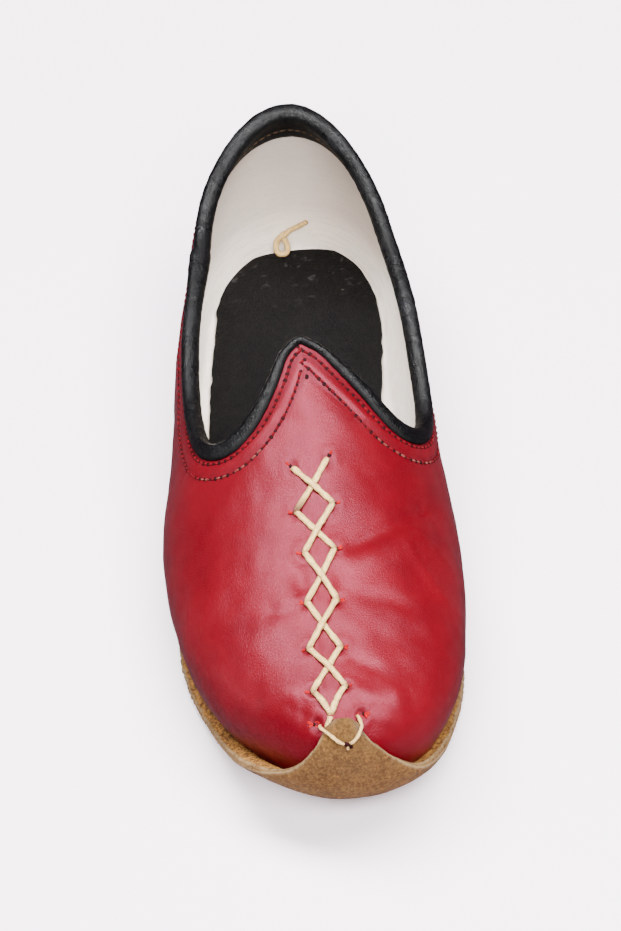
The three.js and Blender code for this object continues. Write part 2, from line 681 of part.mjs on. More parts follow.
const shoe = new THREE.Group();
shoe.name = "leather_slip_on_shoe";
const bounds = new THREE.Box3();
for (const [name, solid] of Object.entries(solids)) {
  const mesh = solid.getMesh();
  const points = new Float32Array(mesh.numVert * 3);
  for (let i = 0; i < mesh.numVert; i += 1) {
    points[3 * i] = mesh.vertProperties[mesh.numProp * i];
    points[3 * i + 1] = -mesh.vertProperties[mesh.numProp * i + 1];
    points[3 * i + 2] = mesh.vertProperties[mesh.numProp * i + 2];
  }
  const index = Array.from(mesh.triVerts);
  for (let i = 0; i < index.length; i += 3) [index[i + 1], index[i + 2]] = [index[i + 2], index[i + 1]];
  const geometry = new THREE.BufferGeometry();
  geometry.setAttribute("position", new THREE.BufferAttribute(points, 3));
  geometry.setIndex(index);
  geometry.computeBoundingBox();
  bounds.union(geometry.boundingBox);
  const piece = new THREE.Mesh(geometry, new THREE.MeshStandardMaterial(looks[name]));
  piece.name = name;
  shoe.add(piece);
}
const centre = bounds.getCenter(new THREE.Vector3());
for (const piece of shoe.children) {
  piece.geometry.translate(-centre.x, -centre.y, -bounds.min.z);
  piece.geometry.computeVertexNormals();
}

export default shoe;
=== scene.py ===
import math
import bpy
import numpy as np
from mathutils import Matrix, Vector
from mathutils.bvhtree import BVHTree


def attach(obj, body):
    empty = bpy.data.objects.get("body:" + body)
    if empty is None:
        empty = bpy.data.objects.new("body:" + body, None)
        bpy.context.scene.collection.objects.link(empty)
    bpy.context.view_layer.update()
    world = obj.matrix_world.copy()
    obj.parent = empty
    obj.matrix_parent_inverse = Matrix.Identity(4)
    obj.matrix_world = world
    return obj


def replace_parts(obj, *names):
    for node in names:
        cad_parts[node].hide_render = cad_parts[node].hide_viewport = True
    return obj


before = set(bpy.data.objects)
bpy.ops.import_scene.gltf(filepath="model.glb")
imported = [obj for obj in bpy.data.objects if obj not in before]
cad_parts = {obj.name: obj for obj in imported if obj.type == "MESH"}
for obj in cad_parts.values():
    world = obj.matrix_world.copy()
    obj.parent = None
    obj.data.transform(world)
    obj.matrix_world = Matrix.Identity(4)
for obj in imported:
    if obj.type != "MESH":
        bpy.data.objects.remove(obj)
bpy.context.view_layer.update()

place = {"side": 3.64695, "heel": 124.88026, "metre": 0.001}  # shoe millimetres to the frame

# camera, lights and floor
view = {"elevation": 50.5, "roll": 5.0, "distance": 2.333, "anchor": (0.0036, -0.0051, 0.025),
        "aim": (0.002, 0.0035, 0.034), "lens": 284, "sensor": 36, "farthest": 50}
studio = {"lamps": {"overhead": {"at": (0.06, 0.12, 1.35), "size": (1.75, 0.5), "watts": 108},
                    "left": {"at": (-1.1, 0.0, 0.5), "size": (0.3, 1.0), "watts": 4},
                    "right": {"at": (1.1, 0.05, 0.5), "size": (0.3, 1.0), "watts": 0.4},
                    "front": {"at": (0.08, -0.85, 1.2), "size": (1.1, 0.26), "watts": 50}},
          "lampAim": (0, 0, 0.03), "floorSize": 16.0, "horizon": (-0.15, 0.05),
          "above": (0.10, 0.098, 0.098, 1), "below": (0.27, 0.21, 0.25, 1)}


# small maths on arrays of points (x to the inner side, u from heel to toe, z up)
def unit(v):
    return v / np.maximum(np.linalg.norm(v, axis=-1, keepdims=True), 1e-9)


def mix(a, b, t):
    return a + (b - a) * t


def ease(t):
    t = np.clip(t, 0, 1)
    return t * t * (3 - 2 * t)


def bell(d, width):
    return np.exp(-(d / width) ** 2)


def closing(t, power):  # 1 at t = 0, round down to 0 at t = 1
    return np.maximum(1 - np.clip(t, 0, 1) ** power, 0) ** (1 / power)


def steps(start, stop, count):  # close together at both ends
    return mix(start, stop, (1 - np.cos(np.linspace(0, math.pi, count))) / 2)


def wobble(p, size, seed, waves=16):  # smooth seeded noise, about -1 to 1
    rng = np.random.default_rng(seed)
    p = np.asarray(p, float)
    ways = unit(rng.normal(size=(waves, p.shape[-1])))
    pace = 2 * math.pi / size * rng.uniform(0.6, 1.5, (waves, 1))
    return np.sin(p @ (ways * pace).T + rng.uniform(0, 2 * math.pi, waves)).sum(-1) / math.sqrt(waves)


def lumps(p, rows):  # rows of height, size and seed
    return sum(high * wobble(p, size, seed) for high, size, seed in rows)


def runAlong(path):  # length from the start to each point
    return np.concatenate([[0], np.cumsum(np.linalg.norm(np.diff(path, axis=0), axis=1))])


def aroundMean(field):  # mean of the four neighbours on a grid
    wide = np.pad(field, ((1, 1), (1, 1), (0, 0)), mode="edge")
    return (wide[:-2, 1:-1] + wide[2:, 1:-1] + wide[1:-1, :-2] + wide[1:-1, 2:]) / 4


class Curve:  # natural cubic through knots
    def __init__(self, xs, ys):
        self.xs, self.ys = np.array(xs, float), np.array(ys, float)
        n = len(self.xs)
        bend, low = np.zeros(n), np.zeros(n)
        x, y = self.xs, self.ys
        for i in range(1, n - 1):
            part = (x[i] - x[i - 1]) / (x[i + 1] - x[i - 1])
            p = part * bend[i - 1] + 2
            bend[i] = (part - 1) / p
            turn = (y[i + 1] - y[i]) / (x[i + 1] - x[i]) - (y[i] - y[i - 1]) / (x[i] - x[i - 1])
            low[i] = (6 * turn / (x[i + 1] - x[i - 1]) - part * low[i - 1]) / p
        for i in range(n - 2, 0, -1):
            bend[i] = bend[i] * bend[i + 1] + low[i]
        self.bend = bend

    def __call__(self, at):
        at = np.clip(np.asarray(at, float), self.xs[0], self.xs[-1])
        k = np.clip(np.searchsorted(self.xs, at), 1, len(self.xs) - 1)
        h = self.xs[k] - self.xs[k - 1]
        a = (self.xs[k] - at) / h
        b = 1 - a
        cubic = ((a ** 3 - a) * self.bend[k - 1] + (b ** 3 - b) * self.bend[k]) * h * h / 6
        return a * self.ys[k - 1] + b * self.ys[k] + cubic


def columnsOf(names, rows):
    table = np.array(rows, float)
    return {name: Curve(table[:, 0], table[:, i + 1]) for i, name in enumerate(names.split())}


# the last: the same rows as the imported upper
last = {
    "length": 244, "wall": 2.2, "heelRound": 42, "toeRound": 63, "tipRound": 21, "tipHeight": 30,
    "endPower": 2, "tipPower": 2.5, "leanMid": 26, "leanHigh": 75, "leanTop": 5.5, "leanFoot": 3,
    "leanLength": 80, "skew": 8, "probe": 0.01, "edgeProbe": 0.4, "limit": 0.999,
    "core": {"span": (60, 200), "high": 32},  # the line inside the shoe that normals point away from
    "names": "inner outer crest ridge seat bellyIn bellyOut tuckIn tuckOut full",
    "rows": (
        (0, 32, 34.5, 0, 88, 4.9, 20, 20, 3.5, 3.5, 2.25),
        (20, 31.9, 35.5, 0, 85, 4.9, 20, 20, 3.5, 3.5, 2.25),
        (42, 33.4, 37, 0, 82, 5.3, 25, 20, 6, 3.5, 2.15),
        (75, 36.6, 42.4, 0, 81, 6.4, 33, 20, 10, 4.5, 2.05),
        (106, 38.6, 45.2, -1.7, 77, 6.2, 29, 20, 9.5, 5.5, 1.8),
        (140, 42, 50.2, -1.8, 67, 4.8, 22, 20, 6.5, 6, 1.8),
        (165, 43.4, 49.9, -1.8, 60.5, 5.2, 20, 20, 5.5, 6, 1.95),
        (190, 42.7, 46.4, -1.8, 56, 9.6, 19, 19, 8, 6, 2.1),
        (217, 45.8, 42.5, -1.3, 52, 17, 15, 15, 8, 5.5, 2.2),
        (244, 51.5, 32, 1, 49.5, 23.5, 10, 10, 4, 4, 2.2)),
    "collar": (  # place along the shoe, rise of the edge on the inner and the outer side
        (0, 0.57, 0.57), (10, 0.53, 0.53), (22, 0.46, 0.456), (40, 0.39, 0.4), (62, 0.3, 0.373),
        (85, 0.225, 0.341), (105, 0.2, 0.35), (119, 0.22, 0.415), (128.5, 0.32, 0.5),
        (131.8, 0.445, 0.6), (128, 0.57, 0.715), (121.3, 0.675, 0.795), (115, 0.783, 0.853),
        (109.2, 0.89, 0.908), (107.2, 0.942, 0.948), (105.7, 1, 1)),
    "collarSteps": (4001, 3001)}
lastColumns = columnsOf(last["names"], last["rows"])


def sectionAt(u, side):
    value = {name: curve(u) for name, curve in lastColumns.items()}
    edge = np.where(side > 0, value["inner"], -value["outer"])
    shrink = closing(1 - u / last["heelRound"], last["endPower"])
    shrink = shrink * closing((u - last["length"] + last["toeRound"]) / last["toeRound"], last["endPower"])
    tip = closing((u - last["length"] + last["tipRound"]) / last["tipRound"], last["tipPower"])
    belly = value["seat"] + np.where(side > 0, value["bellyIn"], value["bellyOut"])
    return {"crest": value["crest"], "half": (edge - value["crest"]) * shrink,
            "tuck": np.where(side > 0, value["tuckIn"], value["tuckOut"]) * shrink * side,
            "seat": mix(last["tipHeight"], value["seat"], tip),
            "belly": mix(last["tipHeight"], belly, tip),
            "ridge": mix(last["tipHeight"], value["ridge"], tip), "power": 2 / value["full"]}


def seatAt(u):
    return sectionAt(u, np.ones_like(u))["seat"]


def leanAt(u, z):
    fade = np.clip(1 - u / last["leanLength"], 0, 1) ** 2
    above = np.maximum((z - last["leanMid"]) / (last["leanHigh"] - last["leanMid"]), 0)
    below = np.maximum((last["leanMid"] - z) / last["leanMid"], 0)
    return fade * (last["leanTop"] * above ** 2 + last["leanFoot"] * below ** 2)


def turnOf(u):
    return np.arccos(np.clip(1 - 2 * np.asarray(u, float) / last["length"], -1, 1))


def lengthOf(turn):
    return last["length"] * (1 - np.cos(turn)) / 2


def outerPoint(turn, side, rise):  # turn 0 heel to pi toe, rise -1 sole, 0 widest, 1 ridge
    turn, side, rise = np.broadcast_arrays(*(np.asarray(v, float) for v in (turn, side, rise)))
    side = np.where(turn < 0, -side, side)
    turn = np.minimum(np.abs(turn), math.pi)
    side = np.where(rise > 1, -side, side)
    rise = np.where(rise > 1, 2 - rise, rise)
    back = np.where(side > 0, last["skew"] * (1 - np.minimum(np.abs(rise), 1)) * np.sin(turn) ** 2, 0)
    u = lengthOf(turn) - back
    s = sectionAt(u, side)
    angle = np.maximum(rise, 0) * math.pi / 2
    low = np.maximum(-rise, 0)
    across = np.maximum(np.cos(angle), 0) ** s["power"]
    up = np.maximum(np.sin(angle), 0) ** s["power"]
    x = s["crest"] + s["half"] * across - s["tuck"] * low * low
    z = np.where(rise < 0, mix(s["belly"], s["seat"], low), mix(s["belly"], s["ridge"], up))
    return np.stack([x, u + leanAt(u, z), z], -1)


def outerSteps(turn, side, rise):  # how the surface moves with turn and with rise
    step = last["probe"]
    return (outerPoint(turn + step, side, rise) - outerPoint(turn - step, side, rise),
            outerPoint(turn, side, rise + step) - outerPoint(turn, side, rise - step))


def outerNormal(turn, side, rise):
    turn, side, rise = np.broadcast_arrays(*(np.asarray(v, float) for v in (turn, side, rise)))
    along, around = outerSteps(turn, side, rise)
    around = np.where(rise[..., None] > last["limit"], np.array([1.0, 0, 0]), around)
    normal = unit(np.cross(along, around))
    here = outerPoint(turn, side, rise)
    core = last["core"]
    away = here - np.stack([0 * turn, np.clip(here[..., 1], *core["span"]), 0 * turn + core["high"]], -1)
    normal = normal * np.where((normal * away).sum(-1, keepdims=True) > 0, 1, -1)
    return np.where(turn[..., None] > math.pi - last["probe"], np.array([0, 1.0, 0]), normal)


def shifted(turn, side, rise, out):
    return outerPoint(turn, side, rise) + outerNormal(turn, side, rise) * np.asarray(out, float)[..., None]


class Collar:  # the opening's edge on a shared measure, heel to peak
    def __init__(self):
        rows = np.array(last["collar"], float)
        turn = turnOf(rows[:, 0])
        turn = np.concatenate([[-turn[1]], turn, [turn[-2]]])
        share = np.vstack([rows[1, 1:], rows[:, 1:], 2 - rows[-2, 1:]])
        length = np.zeros(len(turn) - 1)
        for side, column in ((1, 0), (-1, 1)):
            p = outerPoint(turn, side, share[:, column])
            length += np.linalg.norm(np.diff(p, axis=0), axis=1) / 2
        run = np.concatenate([[0], np.cumsum(length)])
        self.turn = Curve(run, turn)
        self.shares = {1: Curve(run, share[:, 0]), -1: Curve(run, share[:, 1])}
        self.heel, self.peak = run[1], run[-2]
        spots = np.linspace(self.heel, self.peak, last["collarSteps"][0])
        self.dip = spots[np.argmax(self.turn(spots))]

    def measureAt(self, turn, start, stop):
        spots = np.linspace(start, stop, last["collarSteps"][1])
        turns = self.turn(spots)
        order = np.argsort(turns)
        return np.interp(turn, turns[order], spots[order])

    def edge(self, side, s):
        return outerPoint(self.turn(s), side, self.shares[side](s))


collar = Collar()


def collarSpot(side, s, depth, out):  # a point depth away from the collar edge, out from the leather
    turn, rise = collar.turn(s), collar.shares[side](s)
    before, after = (collar.edge(side, s + d) for d in (-last["edgeProbe"], last["edgeProbe"]))
    normal = outerNormal(turn, side, rise)
    away = unit(np.cross(unit(after - before), normal)) * side
    byTurn, byRise = outerSteps(turn, side, rise)
    tt, rr, tr = (byTurn ** 2).sum(-1), (byRise ** 2).sum(-1), (byTurn * byRise).sum(-1)
    ta, ra = (byTurn * away).sum(-1), (byRise * away).sum(-1)
    whole = tt * rr - tr * tr
    turnStep = ((ta * rr - ra * tr) / whole * 2 * last["probe"])[..., None]
    riseStep = ((ra * tt - ta * tr) / whole * 2 * last["probe"])[..., None]
    inside = np.maximum(depth, 0)
    on = shifted(turn[..., None] + turnStep * inside, side, rise[..., None] + riseStep * inside, out)
    off = (outerPoint(turn, side, rise)[..., None, :] + away[..., None, :] * depth[..., None]
           + normal[..., None, :] * np.asarray(out, float)[..., None])
    return np.where((depth > 0)[..., None], on, off)


def vampSpot(u, x, lift):  # a point on the vamp over plan (x, u), with its normal
    u, x = np.asarray(u, float), np.asarray(x, float)
    side = np.where(x > sectionAt(u, np.ones_like(u))["crest"], 1.0, -1.0)
    s = sectionAt(u, side)
    share = np.clip((x - s["crest"]) / s["half"], 0, 1)
    rise = np.arccos(np.clip(share ** (1 / s["power"]), 0, 1)) * 2 / math.pi
    normal = outerNormal(turnOf(u), side, rise)
    return outerPoint(turnOf(u), side, rise) + normal * np.asarray(lift, float)[..., None], normal


# mesh making
def toFrame(points):
    p = np.asarray(points, float)
    return np.stack([p[..., 0] + place["side"], place["heel"] - p[..., 1], p[..., 2]], -1) * place["metre"]


def weld(points, faces, near=0.002):
    keys = np.round(points / near).astype(np.int64)
    _, first, index = np.unique(keys, axis=0, return_index=True, return_inverse=True)
    index = index.reshape(-1)
    rings = []
    for ring in index[np.asarray(faces)].tolist():
        ring = [v for i, v in enumerate(ring) if v != ring[i - 1]]
        if len(set(ring)) >= 3:
            rings.append(ring)
    return first, rings


def gridFaces(rows, columns, start=0, flip=False):
    ids = np.arange(rows * columns).reshape(rows, columns) + start
    quads = np.stack([ids[:-1, :-1], ids[1:, :-1], ids[1:, 1:], ids[:-1, 1:]], -1).reshape(-1, 4)
    return quads[:, ::-1] if flip else quads


def tubeFaces(count, sides, endless=False):  # quads between closed rings
    ids = np.arange(count * sides).reshape(count, sides)
    here, ahead = (ids, np.roll(ids, -1, 0)) if endless else (ids[:-1], ids[1:])
    quads = np.stack([here, ahead, np.roll(ahead, -1, 1), np.roll(here, -1, 1)], -1)
    return quads.reshape(-1, 4).tolist()


def roundLoft(rings):  # closed rings joined into a tube, ends capped to their middles
    count, sides = rings.shape[:2]
    points = np.vstack([rings.reshape(-1, 3), rings[0].mean(0), rings[-1].mean(0)])
    faces, end, middle = tubeFaces(count, sides), (count - 1) * sides, count * sides
    for j in range(sides):
        k = (j + 1) % sides
        faces += [[k, middle, j], [end + j, middle + 1, end + k]]
    return points, faces


def shellOf(outer, inner, faces):  # closes a sheet of two faces round its open edges
    n = len(outer)
    rings = [list(f) for f in faces] + [[v + n for v in reversed(f)] for f in faces]
    edges = {(f[i - 1], v) for f in faces for i, v in enumerate(f)}
    rings += [[b, a, a + n, b + n] for a, b in edges if (b, a) not in edges]
    return np.vstack([outer, inner]), rings


def finishPiece(name, mesh):
    piece = bpy.data.objects.new(name, mesh)
    bpy.context.collection.objects.link(piece)
    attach(piece, "root")
    return piece


def addPiece(name, points, faces, material, attributes=None, uv=None):
    world = toFrame(points)
    mesh = bpy.data.meshes.new(name)
    mesh.from_pydata(world.tolist(), [], faces)
    mesh.update()
    mesh.calc_loop_triangles()
    corners = np.zeros(len(mesh.loop_triangles) * 3, dtype=np.int32)
    mesh.loop_triangles.foreach_get("vertices", corners)
    a, b, c = (world[corners.reshape(-1, 3)[:, i]] for i in range(3))
    if (a * np.cross(b, c)).sum() < 0:  # inside out
        mesh.flip_normals()
    mesh.polygons.foreach_set("use_smooth", np.ones(len(mesh.polygons), dtype=bool))
    for key, values in (attributes or {}).items():
        layer = mesh.attributes.new(key, "FLOAT", "POINT")
        layer.data.foreach_set("value", np.asarray(values, np.float32))
    if uv is not None:
        loops = np.zeros(len(mesh.loops), dtype=np.int32)
        mesh.loops.foreach_get("vertex_index", loops)
        layer = mesh.uv_layers.new(name="along")
        layer.data.foreach_set("uv", np.asarray(uv, np.float32)[loops].reshape(-1))
    mesh.materials.append(material)
    return finishPiece(name, mesh)


# shader maths
class Flow:  # a socket in a node tree, used in sums
    def __init__(self, tree, socket=None):
        self.tree, self.socket = tree, socket

    def node(self, kind, settings=None, sockets=None, output=0):
        made = self.tree.nodes.new(kind)
        for key, value in (settings or {}).items():
            setattr(made, key, value)
        for key, value in (sockets or {}).items():
            if isinstance(value, Flow):
                self.tree.links.new(value.socket, made.inputs[key])
            else:
                made.inputs[key].default_value = value
        return Flow(self.tree, made.outputs[output] if len(made.outputs) else None)

    def sum(self, operation, first, second):
        return self.node("ShaderNodeMath", {"operation": operation}, {0: first, 1: second})

    def __add__(self, other):
        return self.sum("ADD", self, other)

    def __radd__(self, other):
        return self.sum("ADD", other, self)

    def __sub__(self, other):
        return self.sum("SUBTRACT", self, other)

    def __rsub__(self, other):
        return self.sum("SUBTRACT", other, self)

    def __mul__(self, other):
        return self.sum("MULTIPLY", self, other)

    def __rmul__(self, other):
        return self.sum("MULTIPLY", other, self)


class Finish:  # a material with the few nodes that the leathers share
    def __init__(self, name):
        self.material = bpy.data.materials.new(name)
        self.material.use_nodes = True
        self.material.node_tree.nodes.clear()
        self.flow = Flow(self.material.node_tree)
        self.coords = self.flow.node("ShaderNodeTexCoord", None, None, 3)

    def mapped(self, coords, scale):
        return self.flow.node("ShaderNodeMapping", None, {"Vector": coords, "Scale": scale})

    def noise(self, scale, detail=3.0, rough=0.55, distort=0.0, coords=None):
        return self.flow.node("ShaderNodeTexNoise", None, {
            "Vector": coords or self.coords, "Scale": scale, "Detail": detail, "Roughness": rough,
            "Distortion": distort})

    def pores(self, scale):  # 0 along the lines between the cells
        cells = self.flow.node("ShaderNodeTexVoronoi", {"feature": "DISTANCE_TO_EDGE"}, {
            "Vector": self.coords, "Scale": scale})
        return self.between(cells, 0.0, 0.2)

    def between(self, value, low, high):  # 0 below low, 1 above high
        return self.flow.node("ShaderNodeMapRange", {"interpolation_type": "SMOOTHSTEP"}, {
            "Value": value, "From Min": low, "From Max": high})

    def blend(self, factor, first, second):
        full = [c if isinstance(c, Flow) else (*c, 1) for c in (first, second)]
        return self.flow.node("ShaderNodeMix", {"data_type": "RGBA"}, {0: factor, 6: full[0], 7: full[1]}, 2)

    def attribute(self, name):
        return self.flow.node("ShaderNodeAttribute", {"attribute_name": name}, None, 2)

    def bump(self, height, distance, strength=1.0):
        return self.flow.node("ShaderNodeBump", None, {
            "Height": height, "Distance": distance, "Strength": strength})

    def surface(self, sockets):
        shader = self.flow.node("ShaderNodeBsdfPrincipled", None, sockets)
        self.flow.node("ShaderNodeOutputMaterial", None, {"Surface": shader})
        return self.material


def makeRedLeather():
    tones = {"deep": (0.065, 0.0002, 0.0024), "full": (0.089, 0.0003, 0.0033), "worn": (0.20, 0.008, 0.014),
             "shaded": (0.030, 0.0003, 0.0014), "raw": (0.40, 0.13, 0.11), "shine": (1.0, 0.3, 0.43, 1)}
    f = Finish("redLeather")
    mottle, streak = f.noise(26, 4, 0.6), f.noise(120, 4, 0.6, 0.4)
    # painted shade: darker red in the stitch grooves, the dents round the lacing holes and along the foot
    # tucked under the sole
    paintedShade = f.attribute("paintedShade")
    patches = f.between(mottle * 0.65 + streak * 0.35, 0.34, 0.66)
    worn = f.between(f.noise(410, 3, 0.7), 0.66, 0.78) * f.between(mottle, 0.45, 0.7)
    colour = f.blend(patches, tones["deep"], tones["full"])
    colour = f.blend(worn * 0.25, colour, tones["worn"])
    colour = f.blend(paintedShade * 0.8, colour, tones["shaded"])
    colour = f.blend(f.attribute("rawEdge") * 0.6, colour, tones["raw"])
    height = f.pores(1300) * 0.5 + f.noise(1900, 2) * 0.5 + streak * 0.35
    return f.surface({
        "Base Color": colour, "Roughness": 0.345 + mottle * 0.07 - streak * 0.05 + paintedShade * 0.2,
        "Normal": f.bump(height, 0.00011, 0.46), "Specular IOR Level": 0.37, "Specular Tint": tones["shine"]})


def makeBlackLeather():
    tones = {"deep": (0.0006, 0.0005, 0.0007), "full": (0.0022, 0.002, 0.0024),
             "rubbed": (0.016, 0.0165, 0.019)}
    f = Finish("blackLeather")
    crinkle = f.noise(340, 5, 0.65, 1.2)
    bead = f.attribute("bead")
    rubbed = f.between(f.noise(60, 3), 0.55, 0.75) * bead
    colour = f.blend(f.between(crinkle, 0.3, 0.7), tones["deep"], tones["full"])
    colour = f.blend(rubbed * 0.3, colour, tones["rubbed"])
    return f.surface({
        "Base Color": colour, "Roughness": 0.58 + f.noise(90, 3) * 0.16 - bead * 0.38,
        "Specular IOR Level": 0.13, "Normal": f.bump(crinkle * 0.9 + f.pores(1250) * 0.35, 0.0003, 0.6)})


def makeLiningLeather():
    tones = {"warm": (0.94, 0.80, 0.675), "pale": (0.975, 0.885, 0.79), "thread": (0.58, 0.495, 0.42),
             "dust": (0.42, 0.33, 0.25), "liningTopShade": (0.50, 0.415, 0.36)}
    f = Finish("liningLeather")
    fine = f.noise(900, 3, 0.6)
    weave = f.noise(90, 4, 0.6, 0.0, f.mapped(f.coords, (1, 1, 14)))
    dust = f.attribute("dust") * f.between(f.noise(150, 4, 0.65), 0.45, 0.75)
    colour = f.blend(f.between(f.noise(34, 4, 0.6), 0.35, 0.68), tones["warm"], tones["pale"])
    colour = f.blend(f.between(weave * 0.7 + fine * 0.3, 0.46, 0.6) * 0.3, colour, tones["thread"])
    colour = f.blend(dust * 0.3, colour, tones["dust"])
    # painted shade: greyer and darker towards the top of the lining
    colour = f.blend(f.attribute("liningTopShade") * 0.75, colour, tones["liningTopShade"])
    return f.surface({
        "Base Color": colour, "Roughness": 0.72 + fine * 0.15,
        "Normal": f.bump(fine * 0.5 + weave * 0.8, 0.0003, 0.7)})


def makeHide():
    tones = {"dark": (0.046, 0.019, 0.004), "light": (0.106, 0.051, 0.0128), "rust": (0.25, 0.085, 0.016),
             # margin tones: the margin's golden brown, painted brighter than the hide as painted light for
             # the shaded top face
             "marginDark": (0.060, 0.022, 0.005), "marginLight": (0.25, 0.112, 0.024),
             "cut": (0.175, 0.115, 0.056), "worn": (0.075, 0.052, 0.03)}
    f = Finish("hide")
    fibre, speck = f.noise(520, 4, 0.65, 0.3), f.noise(1150, 3, 0.7)
    # ground wear on the under face, and painted shade round the tab tip's edge
    worn = f.attribute("groundWearAndTipShade")
    nap = f.between(f.noise(70, 4, 0.6) * 0.15 + fibre * 0.3 + speck * 0.55, 0.38, 0.62)
    grain = f.between(speck * 0.6 + fibre * 0.4, 0.42, 0.58)
    # the top face's margin: its golden brown, painted brighter as painted light where the upper's bulge
    # shades it
    margin = f.blend(grain, tones["marginDark"], tones["marginLight"])
    colour = f.blend(nap, tones["dark"], tones["light"])
    colour = f.blend(f.between(f.noise(640, 2, 0.5), 0.64, 0.72) * 0.4, colour, tones["rust"])
    # painted light: the top face takes the brighter margin tones
    colour = f.blend(f.attribute("shade") * 0.9, colour, margin)
    colour = f.blend(f.attribute("cutEdge") * f.between(fibre, 0.28, 0.56), colour, tones["cut"])
    # worn tone: ground wear, and painted shade round the tab tip
    colour = f.blend(worn * f.between(f.noise(80, 5, 0.7), 0.38, 0.68) * 0.7, colour, tones["worn"])
    return f.surface({
        "Base Color": colour, "Roughness": 0.78 + fibre * 0.16 - worn * 0.12, "Specular IOR Level": 0.15,
        "Normal": f.bump(fibre * 0.7 + speck * 0.6, 0.00045, 0.75)})


def makeSock():
    tones = {"deep": (0.0005, 0.0004, 0.0005), "full": (0.0028, 0.0025, 0.0026), "lint": (0.10, 0.09, 0.086),
             "paintedGlint": (0.055, 0.052, 0.052)}
    f = Finish("sock")
    nap, rough = f.noise(950, 5, 0.7, 0.3), f.noise(430, 4, 0.6)
    towardsHeel = f.flow.node("ShaderNodeSeparateXYZ", None, {"Vector": f.coords}, 1)
    # painted glints: lighter specks near the heel end stand in for highlights on shiny wrinkles
    paintedGlint = f.between(f.noise(330, 4, 0.6, 0.8), 0.6, 0.68) * f.between(towardsHeel, 0.088, 0.112)
    patches = f.between(nap * 0.6 + f.noise(40, 4, 0.6) * 0.4, 0.36, 0.64)
    colour = f.blend(patches, tones["deep"], tones["full"])
    colour = f.blend(f.between(f.noise(260, 2, 0.5), 0.735, 0.775), colour, tones["lint"])
    # the painted glints lighten the sock near its heel end
    colour = f.blend(paintedGlint * 0.4, colour, tones["paintedGlint"])
    return f.surface({
        "Base Color": colour, "Roughness": 0.46 + nap * 0.22, "Specular IOR Level": 0.085,
        "Normal": f.bump(nap * 0.8 + rough * 0.8, 0.0008, 0.9)})


def makeWaxedThread():
    tones = {"light": (0.76, 0.52, 0.185), "dark": (0.44, 0.26, 0.08), "wax": (0.36, 0.19, 0.06),
             "fibre": (0.30, 0.15, 0.045), "rim": (0.24, 0.105, 0.03), "stain": (0.10, 0.036, 0.012)}
    f = Finish("waxedThread")
    uv = f.flow.node("ShaderNodeUVMap", {"uv_map": "along"})
    twist = f.flow.node("ShaderNodeTexWave", {"wave_type": "BANDS", "bands_direction": "DIAGONAL"}, {
        "Vector": uv, "Scale": 1.0, "Distortion": 1.4, "Detail": 2.0, "Detail Scale": 2.0})
    fibre = f.between(f.noise(1.0, 4, 0.7, 0.0, f.mapped(uv, (0.5, 4.0, 1.0))), 0.47, 0.62)
    colour = f.blend(twist * 0.5, tones["light"], tones["dark"])
    colour = f.blend(f.between(f.noise(70, 4, 0.65), 0.45, 0.72) * 0.4, colour, tones["wax"])
    colour = f.blend(fibre * 0.5, colour, tones["fibre"])
    # painted shade on the thread's sides and underside
    colour = f.blend(f.attribute("rim") * 0.8, colour, tones["rim"])
    colour = f.blend(f.attribute("stain"), colour, tones["stain"])
    return f.surface({
        "Base Color": colour, "Roughness": 0.52 + twist * 0.2,
        "Normal": f.bump(twist * 0.6 + fibre * 0.5, 0.0003, 0.8)})


def makeStitchThread(name, dark, light):
    f = Finish(name)
    ply = f.noise(2400, 3, 0.6)
    colour = f.blend(f.between(f.noise(300, 3, 0.6) * 0.6 + ply * 0.4, 0.34, 0.66), dark, light)
    return f.surface({
        "Base Color": colour, "Roughness": 0.6 + ply * 0.2, "Specular IOR Level": 0.08,
        "Normal": f.bump(ply, 0.0002, 0.8)})


def makeFloor():
    tones = {"dim": (0.94, 0.84, 0.905), "bright": (0.96, 0.86, 0.925), "glow": (1.0, 0.87, 0.95, 1)}
    f = Finish("paleFloor")
    cloud = f.noise(3, 3)
    return f.surface({
        "Base Color": f.blend(cloud, tones["dim"], tones["bright"]), "Roughness": 0.6 + cloud * 0.1,
        "Emission Color": tones["glow"], "Emission Strength": 0.34})


stitchTones = {  # dark and light of the small sewn and torn things
    "redStitch": ((0.045, 0.0006, 0.002), (0.115, 0.0016, 0.005)),
    "paleStitch": ((0.07, 0.008, 0.008), (0.17, 0.055, 0.042)),
    "brownStitch": ((0.03, 0.017, 0.01), (0.085, 0.052, 0.031)),
    # dark beads of painted shade standing in for the insides of holes
    "holeShade": ((0.004, 0.0004, 0.0006), (0.016, 0.0006, 0.0014)),
    "holeLip": ((0.18, 0.0006, 0.0025), (0.33, 0.0025, 0.006)),
    "hideFibre": ((0.075, 0.037, 0.012), (0.25, 0.165, 0.08))}
finishes = {"redLeather": makeRedLeather(), "blackLeather": makeBlackLeather(), "lining": makeLiningLeather(),
            "hide": makeHide(), "sock": makeSock(), "thread": makeWaxedThread()}
finishes.update({name: makeStitchThread(name, *pair) for name, pair in stitchTones.items()})
print("finishes made", len(finishes))


